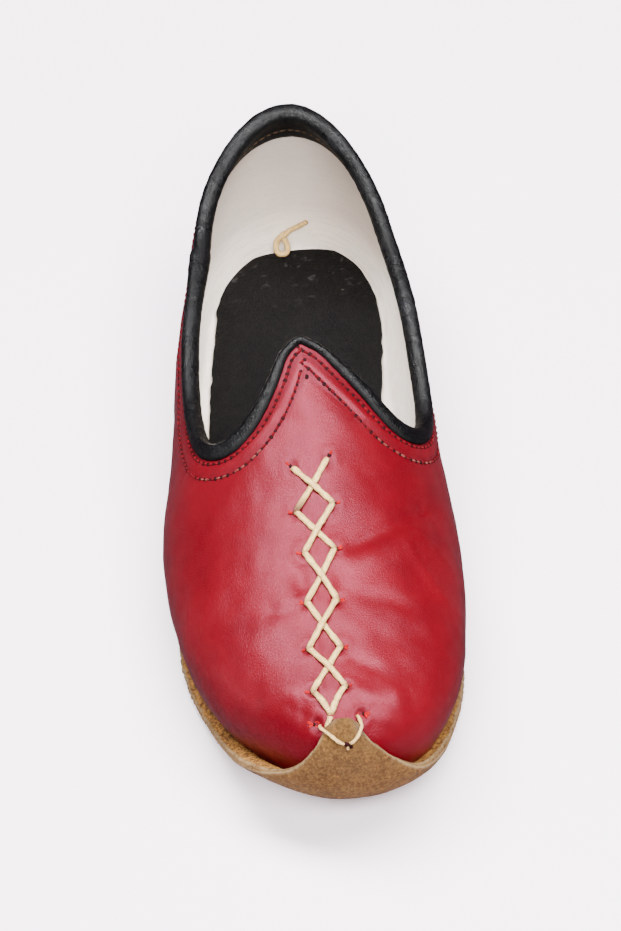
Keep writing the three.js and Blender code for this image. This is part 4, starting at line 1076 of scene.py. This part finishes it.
# the rim entry is painted shade on the loose threads' sides, at a lesser share
looseEnds = {"steps": 26, "flat": 0.75, "rim": 0.6, "threads": (
    {"path": ((-2.6, 4.6, 14.2), (-4.4, 5.0, 13.6), (-6.6, 6.2, 11.0), (-6.0, 8.6, 8.9), (-3.6, 8.4, 8.8),
              (-3.2, 6.3, 10.6), (-4.3, 5.3, 13.0)), "normal": (0, 0.6, 0.8), "wide": 2.0, "seed": 17},
    {"path": ((-4.4, 5.2, 13.2), (-1.8, 4.5, 15.2), (1.2, 4.2, 16.6), (3.9, 4.3, 18.6)),
     "normal": (0, 1, 0.2), "wide": 1.8, "seed": 18})}
tabFace = sole["tabThick"] + sole["clear"]
tabOver = tabFace + lacing["tieHigh"] / 2  # the tie's middle over the tab


def smoothPath(points, count):
    points = np.asarray(points, float)
    run = runAlong(points)
    at = np.linspace(0, run[-1], count)
    return np.stack([Curve(run, points[:, i])(at) for i in range(3)], -1)


class Threads:  # thread pieces gathered into one mesh
    def __init__(self):
        self.points, self.faces, self.uvs, self.stains, self.rims, self.start = [], [], [], [], [], 0
        self.angle = np.linspace(0, 2 * math.pi, lacing["sides"], endpoint=False)
        # painted shade on the thread's sides and underside, darker away from its top
        self.sideShadeTone = 1 - ease((np.sin(self.angle) - lacing["rim"][0]) / lacing["rim"][1])

    def lay(self, path, normal, seed, stain=None, wide=lacing["wide"], high=lacing["high"]):
        ahead = unit(np.gradient(path, axis=0))
        across = unit(np.cross(ahead, normal))
        up = np.cross(across, ahead)
        run = runAlong(path)
        grow, size, firstSeed = lacing["swell"]
        swell = 1 + grow * wobble(np.stack([run, run * 0 + seed], -1), size, firstSeed + seed)
        side = np.cos(self.angle)[None, :, None] * across[:, None] * (wide / 2 * swell)[:, None, None]
        rise = np.sin(self.angle)[None, :, None] * up[:, None] * (high / 2)
        points, faces = roundLoft(path[:, None] + side + rise)
        turns = self.angle / math.pi
        uv = np.stack([np.repeat(run / lacing["twist"], len(turns)), np.tile(turns, len(run))], -1)
        mark = np.zeros(len(path)) if stain is None else stain
        self.points.append(points)
        self.faces.extend([[v + self.start for v in ring] for ring in faces])
        self.uvs.append(np.vstack([uv, uv[:1], uv[-1:]]))
        self.stains.append(np.concatenate([np.repeat(mark, lacing["sides"]), mark[:1], mark[-1:]]))
        self.rims.append(np.concatenate([np.tile(self.sideShadeTone, len(path)), (1, 1)]))
        self.start += len(points)

    def bar(self, a, b, over, seed, stainAt=()):  # from hole to hole, over or under the one it crosses
        past = lacing["past"]
        t = np.linspace(-past, 1 + past, lacing["steps"])
        u, x = mix(a[0], b[0], t), mix(a[1], b[1], t)
        length = math.hypot(a[0] - b[0], a[1] - b[1])
        sway, size, swaySeed = lacing["sway"]
        side = sway * np.sin(np.pi * t) * wobble(np.array([seed * lacing["swayApart"], 1.0]), size, swaySeed)
        off = np.minimum(t + past, 1 + past - t) * length
        lift = lacing["high"] / 2 + lacing["lift"] - lacing["dive"] * (1 - ease(off / lacing["bends"]))
        lift += (lacing["cross"] if over else lacing["underCross"]) * bell(t - 0.5, lacing["crossOver"])
        path, normal = vampSpot(u, x + side, lift)
        stain = np.zeros(len(t))
        for spot, share in stainAt:
            stain += share * bell(t - spot, lacing["stainOver"])
        endShare, endOver = lacing["endStain"]
        stain += endShare * (bell(t, endOver) + bell(t - 1, endOver))
        self.lay(path, normal, seed, np.clip(stain, 0, 1))

    def finish(self, name, sideShadeShare=1.0):
        # the rim tone is painted shade on the thread's sides
        tones = {"stain": np.concatenate(self.stains), "rim": np.concatenate(self.rims) * sideShadeShare}
        return addPiece(name, np.vstack(self.points), self.faces, finishes["thread"], tones,
                        np.vstack(self.uvs))


def tabSpot(spot, lift):  # a point out from the toe tab, with its normal
    at, x = spot
    share = x - soleColumns["middle"](at)
    share = share / soleHalf(at, share)
    out = soleOutward(at, np.clip(share, -lacing["tabShare"], lacing["tabShare"]))
    return solePoint(at, share) + out * lift, out


def makeLacing():
    threads = Threads()
    for i in range(len(holeRows) - 2):
        a, b = holeRows[i], holeRows[i + 1]
        threads.bar(a[:2], b[2:], i % 2 == 0, 2 * i)
        threads.bar(a[2:], b[:2], i % 2 == 1, 2 * i + 1, lacing["crossStain"] if i == 0 else ())
    end, tie = holeRows[-2:]
    threads.bar(end[2:], lacing["meet"], False, 11)
    threads.bar(end[:2], lacing["meet"], True, 12, lacing["meetStain"])
    threads.bar(lacing["meet"], lacing["under"], False, 13)
    slot, count = lacing["slot"], lacing["tieSteps"]
    for k, route in enumerate(lacing["ties"]):  # from each tie hole over the tab's edge to its slot
        u, x = tie[:2] if k == 0 else tie[2:]
        u, x = u + lacing["tieShift"][0], x - lacing["tieShift"][1] * np.sign(x)
        low, lowNormal = vampSpot(np.array([u, u]), np.array([x, x]), np.array(lacing["tieLift"]))
        face = [tabSpot(spot, tabOver)[0] for spot in route]
        face[0] = tabSpot(route[0], tabOver - lacing["tieEdge"])[0]
        share, sunk = lacing["tieEnd"]
        inSlot = tabSpot(mix(np.array(route[-1]), np.array(slot), share), tabOver - sunk)[0]
        path = smoothPath([low[0], low[1], *face, inSlot], count)
        mark = ease(np.linspace(0, 1, count)[:, None] * 2)
        normal = unit(mix(lowNormal[0], tabSpot(route[2], tabOver)[1], mark))
        threads.lay(path, normal, 14 + k, None, lacing["tieWide"], lacing["tieHigh"])
    stubStart, out = tabSpot(slot, tabOver - lacing["stubSunk"][0])
    stubEnd, _ = tabSpot(lacing["stub"], tabOver - lacing["stubSunk"][1])
    count = lacing["stubSteps"]
    path = smoothPath([stubStart, mix(stubStart, stubEnd, 0.5) + out * lacing["stubArch"], stubEnd], count)
    stain = np.full(count, lacing["stubStain"])
    threads.lay(path, np.tile(out, (count, 1)), 16, stain, *lacing["stubSize"])
    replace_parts(threads.finish("vampThread"), "vamp_lacing")
    loose = Threads()
    count = looseEnds["steps"]
    for thread in looseEnds["threads"]:  # a loop and its tail
        normal = np.tile(np.array(thread["normal"], float), (count, 1))
        loose.lay(smoothPath(thread["path"], count), normal, thread["seed"], None, thread["wide"],
                  thread["wide"] * looseEnds["flat"])
    loose.finish("looseThread", looseEnds["rim"])


makeLacing()
print("threads made")


# stitches, needle holes painted as shade, hole lips and hide fibres: one tree, set for each
grains = {"bead": {"Segments": 8, "Rings": 6, "Radius": 0.5}, "hoop": {"Resolution": 12, "Radius": 0.36},
          "hoopSection": {"Resolution": 6, "Radius": 0.14},
          "fibre": {"Vertices": 3, "Side Segments": 2, "Radius Top": 0.12, "Radius Bottom": 0.5,
                    "Depth": 1.0},
          "inputs": {"Length": 0.002, "Width": 0.0006, "Height": 0.0005, "Least": 0.9, "Most": 1.1},
          "seed": 7}


def grainShape(flow, shape):
    if shape == "bead":
        return flow.node("GeometryNodeMeshUVSphere", None, grains["bead"])
    if shape == "ring":
        hoop = flow.node("GeometryNodeCurvePrimitiveCircle", None, grains["hoop"])
        section = flow.node("GeometryNodeCurvePrimitiveCircle", None, grains["hoopSection"])
        return flow.node("GeometryNodeCurveToMesh", None, {0: hoop, 1: section})
    return flow.node("GeometryNodeMeshCone", {"fill_type": "NGON"}, grains["fibre"])


def scatterTree(name, shape, material):
    tree = bpy.data.node_groups.new(name, "GeometryNodeTree")
    tree.interface.new_socket("Geometry", in_out="INPUT", socket_type="NodeSocketGeometry")
    for label, value in grains["inputs"].items():
        socket = tree.interface.new_socket(label, in_out="INPUT", socket_type="NodeSocketFloat")
        socket.default_value = value
    seed = tree.interface.new_socket("Seed", in_out="INPUT", socket_type="NodeSocketInt")
    seed.default_value = grains["seed"]
    tree.interface.new_socket("Geometry", in_out="OUTPUT", socket_type="NodeSocketGeometry")
    flow = Flow(tree)
    enter = tree.nodes.new("NodeGroupInput")
    given = {socket.name: Flow(tree, socket) for socket in enter.outputs if socket.name}
    size = flow.node("ShaderNodeCombineXYZ", None, {
        "X": given["Length"], "Y": given["Width"], "Z": given["Height"]})
    form = flow.node("GeometryNodeTransform", None, {"Geometry": grainShape(flow, shape), "Scale": size})
    ahead, above = (flow.node("GeometryNodeInputNamedAttribute", {"data_type": "FLOAT_VECTOR"}, {"Name": key})
                    for key in ("ahead", "above"))
    main, other = ("Z", "X") if shape == "fibre" else ("X", "Z")
    turn = flow.node("FunctionNodeAlignRotationToVector", {"axis": main, "pivot_axis": "AUTO"}, {
        "Vector": ahead})
    turn = flow.node("FunctionNodeAlignRotationToVector", {"axis": other, "pivot_axis": main}, {
        "Rotation": turn, "Vector": above})
    scale = flow.node("FunctionNodeRandomValue", {"data_type": "FLOAT"}, {
        2: given["Least"], 3: given["Most"], "Seed": given["Seed"]}, 1)
    spread = flow.node("GeometryNodeInstanceOnPoints", None, {
        "Points": given["Geometry"], "Instance": form, "Rotation": turn, "Scale": scale})
    real = flow.node("GeometryNodeRealizeInstances", None, {"Geometry": spread})
    smooth = flow.node("GeometryNodeSetShadeSmooth", None, {0: real})
    done = flow.node("GeometryNodeSetMaterial", None, {"Geometry": smooth, "Material": material})
    leave = tree.nodes.new("NodeGroupOutput")
    tree.links.new(done.socket, leave.inputs[0])
    return tree


def scatter(name, spots, ahead, above, shape, sizes, material):
    mesh = bpy.data.meshes.new(name + "Points")
    mesh.from_pydata(toFrame(spots).tolist(), [], [])
    for key, values in (("ahead", ahead), ("above", above)):
        layer = mesh.attributes.new(key, "FLOAT_VECTOR", "POINT")
        turned = np.asarray(values) * np.array([1, -1, 1])
        layer.data.foreach_set("vector", turned.astype(np.float32).reshape(-1))
    holder = bpy.data.objects.new(name + "Points", mesh)
    bpy.context.collection.objects.link(holder)
    tree = scatterTree(name + "Tree", shape, material)
    step = holder.modifiers.new("scatter", "NODES")
    step.node_group = tree
    for item in tree.interface.items_tree:
        if item.in_out == "INPUT" and item.name in sizes:
            step[item.identifier] = sizes[item.name]
    done = holder.evaluated_get(bpy.context.evaluated_depsgraph_get())
    made = bpy.data.meshes.new_from_object(done)
    made.name = name
    holder.modifiers.remove(step)
    bpy.data.objects.remove(holder)
    bpy.data.meshes.remove(mesh)
    for key in ("ahead", "above"):
        if key in made.attributes:
            made.attributes.remove(made.attributes[key])
    return finishPiece(name, made)


# stitch rows along the collar: places in millimetres, sizes of each stitch in metres
seams = {"lines": ({"extra": 1.9, "narrow": 0.62}, {"extra": 6.3, "narrow": 1.0}), "narrowOver": 14,
         "pitch": 2.35, "facingPitch": 2.9, "facingDepth": 0.62, "facingOut": 1.42, "facingPast": 20,
         "paleSpan": 7.8, "paleSkip": 3, "raise": 0.1, "holeRaise": 0.03,
         "spots": 1600, "probe": 0.6, "ray": 4,
         "apex": {"u": (118.1, 118.7), "x": (-0.3, -0.4), "raise": 0.05},
         "red": {"Length": 0.00175, "Width": 0.0009, "Height": 0.0009},
         "pale": {"Length": 0.0019, "Width": 0.00065, "Height": 0.0007},
         "hole": {"Length": 0.0013, "Width": 0.0013, "Height": 0.00036, "Least": 0.75, "Most": 1.25},
         "facing": {"Length": 0.0021, "Width": 0.0006, "Height": 0.0005}}


def seamRow(side, depthOf, pitch):  # evenly spaced spots along the collar, with way and normal
    s = np.linspace(collar.heel, collar.peak, seams["spots"])
    depth = depthOf(s)[:, None]
    line, tops = (collarSpot(side, s, depth, 0 * depth + out)[:, 0] for out in (0, 1.0))
    keep = (line[:, 0] - lastColumns["crest"](line[:, 1])) * side > 0
    line, tops, s = line[keep], tops[keep], s[keep]
    run = runAlong(line)
    at = np.arange(pitch / 2, run[-1], pitch)

    def pick(values, where):
        return np.stack([np.interp(where, run, values[:, i]) for i in range(3)], -1)

    spots = pick(line, at)
    ways = unit(pick(line, at + seams["probe"]) - pick(line, at - seams["probe"]))
    return spots, ways, unit(pick(tops, at) - spots), np.interp(at, run, s)


def onLeather(spots, normals):  # sets spots on the creased leather
    tree = BVHTree.FromPolygons([Vector(p) for p in leatherPoints.tolist()], leatherFaces)
    placed = []
    for p, n in zip(spots, normals):
        hit, _, _, _ = tree.ray_cast(Vector(p + n * seams["ray"]), Vector(-n), 2 * seams["ray"])
        placed.append(p if hit is None else np.array(hit))
    return np.array(placed)


def makeSeams():
    groups = {"redStitches": [], "paleStitches": [], "needleHoleShades": []}
    facing = []
    for side in (1, -1):
        for row in seams["lines"]:
            def rowDepth(s):
                narrowed = 1 - ease((s - collar.dip) / seams["narrowOver"])
                return bindingLegs(side, s)[0] + mix(row["extra"], row["extra"] * row["narrow"], narrowed)

            spots, ways, normals, s = seamRow(side, rowDepth, seams["pitch"])
            spots = onLeather(spots, normals)
            pale = (np.abs(s - collar.dip) < seams["paleSpan"]) & (np.arange(len(s)) % seams["paleSkip"] > 0)
            pale = pale & (row is seams["lines"][1])
            for k, (p, way, n) in enumerate(zip(spots, ways, normals)):
                groups["paleStitches" if pale[k] else "redStitches"].append((p + n * seams["raise"], way, n))
                # a dark bead of painted shade for each needle hole
                hole = p + way * seams["pitch"] / 2 + n * seams["holeRaise"]
                groups["needleHoleShades"].append((hole, way, n))
    apex = seams["apex"]
    spots, normals = vampSpot(np.array(apex["u"]), np.array(apex["x"]), np.zeros(len(apex["u"])))
    for p, n in zip(onLeather(spots, normals), normals):  # start of the far row
        groups["needleHoleShades"].append((p + n * apex["raise"], np.array([0.0, 1, 0]), n))
    for name, sizes, finish, slot in (("redStitches", "red", "redStitch", "thread"),
                                      ("paleStitches", "pale", "paleStitch", "thread"),
                                      ("needleHoleShades", "hole", "holeShade", "red_leather")):
        spots, ways, normals = (np.array(v) for v in zip(*groups[name]))
        scatter(name, spots, ways, normals, "bead", seams[sizes], finishes[finish])
    for side in (1, -1):
        spots, ways, normals, s = seamRow(side, lambda s: bindingLegs(side, s)[1] * seams["facingDepth"],
                                          seams["facingPitch"])
        keep = s < collar.dip + seams["facingPast"]
        spots = spots - normals * (last["wall"] + seams["facingOut"])
        facing += list(zip(spots[keep], ways[keep], normals[keep]))
    spots, ways, normals = (np.array(v) for v in zip(*facing))
    scatter("facingStitches", spots, ways, -normals, "bead", seams["facing"], finishes["brownStitch"])


makeSeams()

# the lacing's holes: pulled lips, torn tufts, and dark beads as painted shade for the dark inside
vampHoles = {"tuftCount": 4, "tuftSeed": 5, "tieHole": 2.1, "pastEnd": 1.3, "tuftOut": 0.3, "tuftReach": 0.5,
             "tuftLean": {"away": (0.4, 1.1), "up": (0.25, 0.7), "spread": 0.6},
             "tuft": {"Length": 0.0018, "Width": 0.0007, "Height": 0.00062, "Least": 0.6, "Most": 1.4},
             "tab": {"Length": 0.0036, "Width": 0.0017, "Height": 0.0010, "Least": 1.0, "Most": 1.0},
             "lip": {"Length": 0.0027, "Width": 0.0026, "Height": 0.0016, "Least": 0.85, "Most": 1.1},
             # the dark entry sizes the beads of painted shade in the holes
             "dark": {"Length": 0.0015, "Width": 0.0014, "Height": 0.00032, "Least": 0.85, "Most": 1.1}}


def makeVampHoles():
    count = len(holeRows)
    u = np.array([row[0] for row in holeRows] + [row[2] for row in holeRows])
    x = np.array([row[1] for row in holeRows] + [row[3] for row in holeRows])
    spots, normals = vampSpot(u, x, np.zeros(len(u)))
    spots = onLeather(spots, normals)
    ways = unit(np.cross(normals, np.array([1.0, 0, 0])))
    lip, dark = finishes["holeLip"], finishes["holeShade"]
    scatter("holeLips", spots, ways, normals, "ring", vampHoles["lip"], lip)
    side = np.repeat([-1.0, 1.0], count)
    away = unit(np.stack([side, 0 * side, 0 * side], -1) - normals * (side * normals[:, 0])[:, None])
    (firstRow, secondRow), pastEnd = holeRows[:2], vampHoles["pastEnd"]
    for k, start, stop in ((0, firstRow[:2], secondRow[2:]), (count, firstRow[2:], secondRow[:2])):
        ahead = np.array([start[1] - stop[1], start[0] - stop[0], 0])  # past the end of the first thread
        away[k] = unit(ahead - normals[k] * (ahead @ normals[k])) * pastEnd
    big = np.tile(np.array([1.0] * (count - 1) + [vampHoles["tieHole"]]), 2)
    brim = onLeather(spots + away, normals)
    rng = np.random.default_rng(vampHoles["tuftSeed"])
    lean, tufts = vampHoles["tuftLean"], []
    for k in range(len(spots)):
        for _ in range(round(vampHoles["tuftCount"] * big[k])):
            way = away[k] * rng.uniform(*lean["away"]) + normals[k] * rng.uniform(*lean["up"])
            way = unit(way + ways[k] * rng.normal() * lean["spread"])
            spot = brim[k] + away[k] * vampHoles["tuftOut"] + way * vampHoles["tuftReach"] * big[k] ** 0.5
            tufts.append((spot, way, normals[k]))
    tuftSpots, tuftWays, tuftNormals = (np.array(v) for v in zip(*tufts))
    scatter("leatherTufts", tuftSpots, tuftWays, tuftNormals, "bead", vampHoles["tuft"], lip)
    # dark beads of painted shade inside the lacing holes and the tab's slot
    scatter("threadHoleShades", brim, ways, normals, "bead", vampHoles["dark"], dark)
    slot, step = lacing["slot"], lacing["slotWay"]
    middle, out = tabSpot(slot, tabFace - lacing["slotSunk"])
    ahead = unit(tabSpot((slot[0] + step[0], slot[1] + step[1]), tabOver)[0] - tabSpot(slot, tabOver)[0])
    scatter("tabHoleShade", middle[None], ahead[None], out[None], "bead", vampHoles["tab"], dark)


makeVampHoles()

# loose fibres along the cut edge of the sole
fuzz = {"count": 1700, "seed": 77, "from": 6, "until": 240, "spread": 0.65, "lowest": 0.5, "upBelow": 1.5,
        "out": 0.3, "sizes": {"Length": 0.00008, "Width": 0.00008, "Height": 0.0006, "Least": 0.5,
                              "Most": 1.5, "Seed": 11}}


def makeFuzz():
    rng = np.random.default_rng(fuzz["seed"])
    m, walls = sole["shares"], len(sole["wallShares"])
    innerEdge = list(range(m - 1, m + walls + 1))
    outerEdge = list(range(2 * m + walls, 2 * m + 2 * walls)) + [0]
    spots, ways, tops = [], [], []
    for _ in range(fuzz["count"]):
        i = int(rng.integers(fuzz["from"], np.searchsorted(soleRuns, fuzz["until"])))
        inner = rng.random() < 0.5
        j = int(rng.choice(innerEdge if inner else outerEdge))
        p = soleRing[i, j]
        ways.append(np.array([1.0 if inner else -1.0, 0, 0]) + rng.normal(size=3) * fuzz["spread"])
        spots.append(p + (soleRing[i + 1, j] - p) * rng.random())
        tops.append(rng.normal(size=3))
    spots, ways = np.array(spots), unit(np.array(ways))
    spots[:, 2] = np.maximum(spots[:, 2], fuzz["lowest"])
    ways[:, 2] = np.where(spots[:, 2] < fuzz["upBelow"], np.abs(ways[:, 2]), ways[:, 2])
    scatter("hideFibres", spots + ways * fuzz["out"], ways, np.array(tops), "fibre", fuzz["sizes"],
            finishes["hideFibre"])


makeFuzz()
print("stitches, holes and fibres made")


def makeStudio():
    half = studio["floorSize"] / 2
    mesh = bpy.data.meshes.new("floor")
    corners = [(-half, -half, 0), (half, -half, 0), (half, half, 0), (-half, half, 0)]
    mesh.from_pydata(corners, [], [(0, 1, 2, 3)])
    mesh.materials.append(makeFloor())
    floor = bpy.data.objects.new("floor", mesh)
    bpy.context.collection.objects.link(floor)
    floor.visible_glossy = False  # the leather mirrors the softer world below instead
    world = bpy.data.worlds.new("studio")
    world.use_nodes = True
    world.node_tree.nodes.clear()
    flow = Flow(world.node_tree)
    height = flow.node("ShaderNodeSeparateXYZ", None, {"Vector": flow.node("ShaderNodeTexCoord")}, 2)
    low, high = studio["horizon"]
    share = flow.node("ShaderNodeMapRange", None, {"Value": height, "From Min": low, "From Max": high})
    tone = flow.node("ShaderNodeMix", {"data_type": "RGBA"}, {
        0: share, 6: studio["below"], 7: studio["above"]}, 2)
    glow = flow.node("ShaderNodeBackground", None, {"Color": tone})
    flow.node("ShaderNodeOutputWorld", None, {"Surface": glow})
    bpy.context.scene.world = world
    for name, lamp in studio["lamps"].items():
        light = bpy.data.lights.new(name, "AREA")
        light.shape = "RECTANGLE"
        light.size, light.size_y = lamp["size"]
        light.energy = lamp["watts"]
        holder = bpy.data.objects.new(name, light)
        holder.location = lamp["at"]
        way = Vector(studio["lampAim"]) - Vector(lamp["at"])
        holder.rotation_euler = way.to_track_quat("-Z", "Y").to_euler()
        bpy.context.collection.objects.link(holder)
    tilt, roll = math.radians(view["elevation"]), math.radians(view["roll"])
    toCamera = Vector((0, -math.cos(tilt), math.sin(tilt)))
    spot = Vector(view["anchor"]) + toCamera * view["distance"]
    back = (spot - Vector(view["aim"])).normalized()
    right = Vector((0, 0, 1)).cross(back).normalized()
    up = back.cross(right)
    leanRight = right * math.cos(roll) - up * math.sin(roll)
    leanUp = right * math.sin(roll) + up * math.cos(roll)
    data = bpy.data.cameras.new("camera")
    data.lens, data.sensor_width, data.clip_end = view["lens"], view["sensor"], view["farthest"]
    camera = bpy.data.objects.new("camera", data)
    camera.matrix_world = Matrix((leanRight, leanUp, back)).transposed().to_4x4()
    camera.location = spot
    bpy.context.collection.objects.link(camera)
    bpy.context.scene.camera = camera


makeStudio()
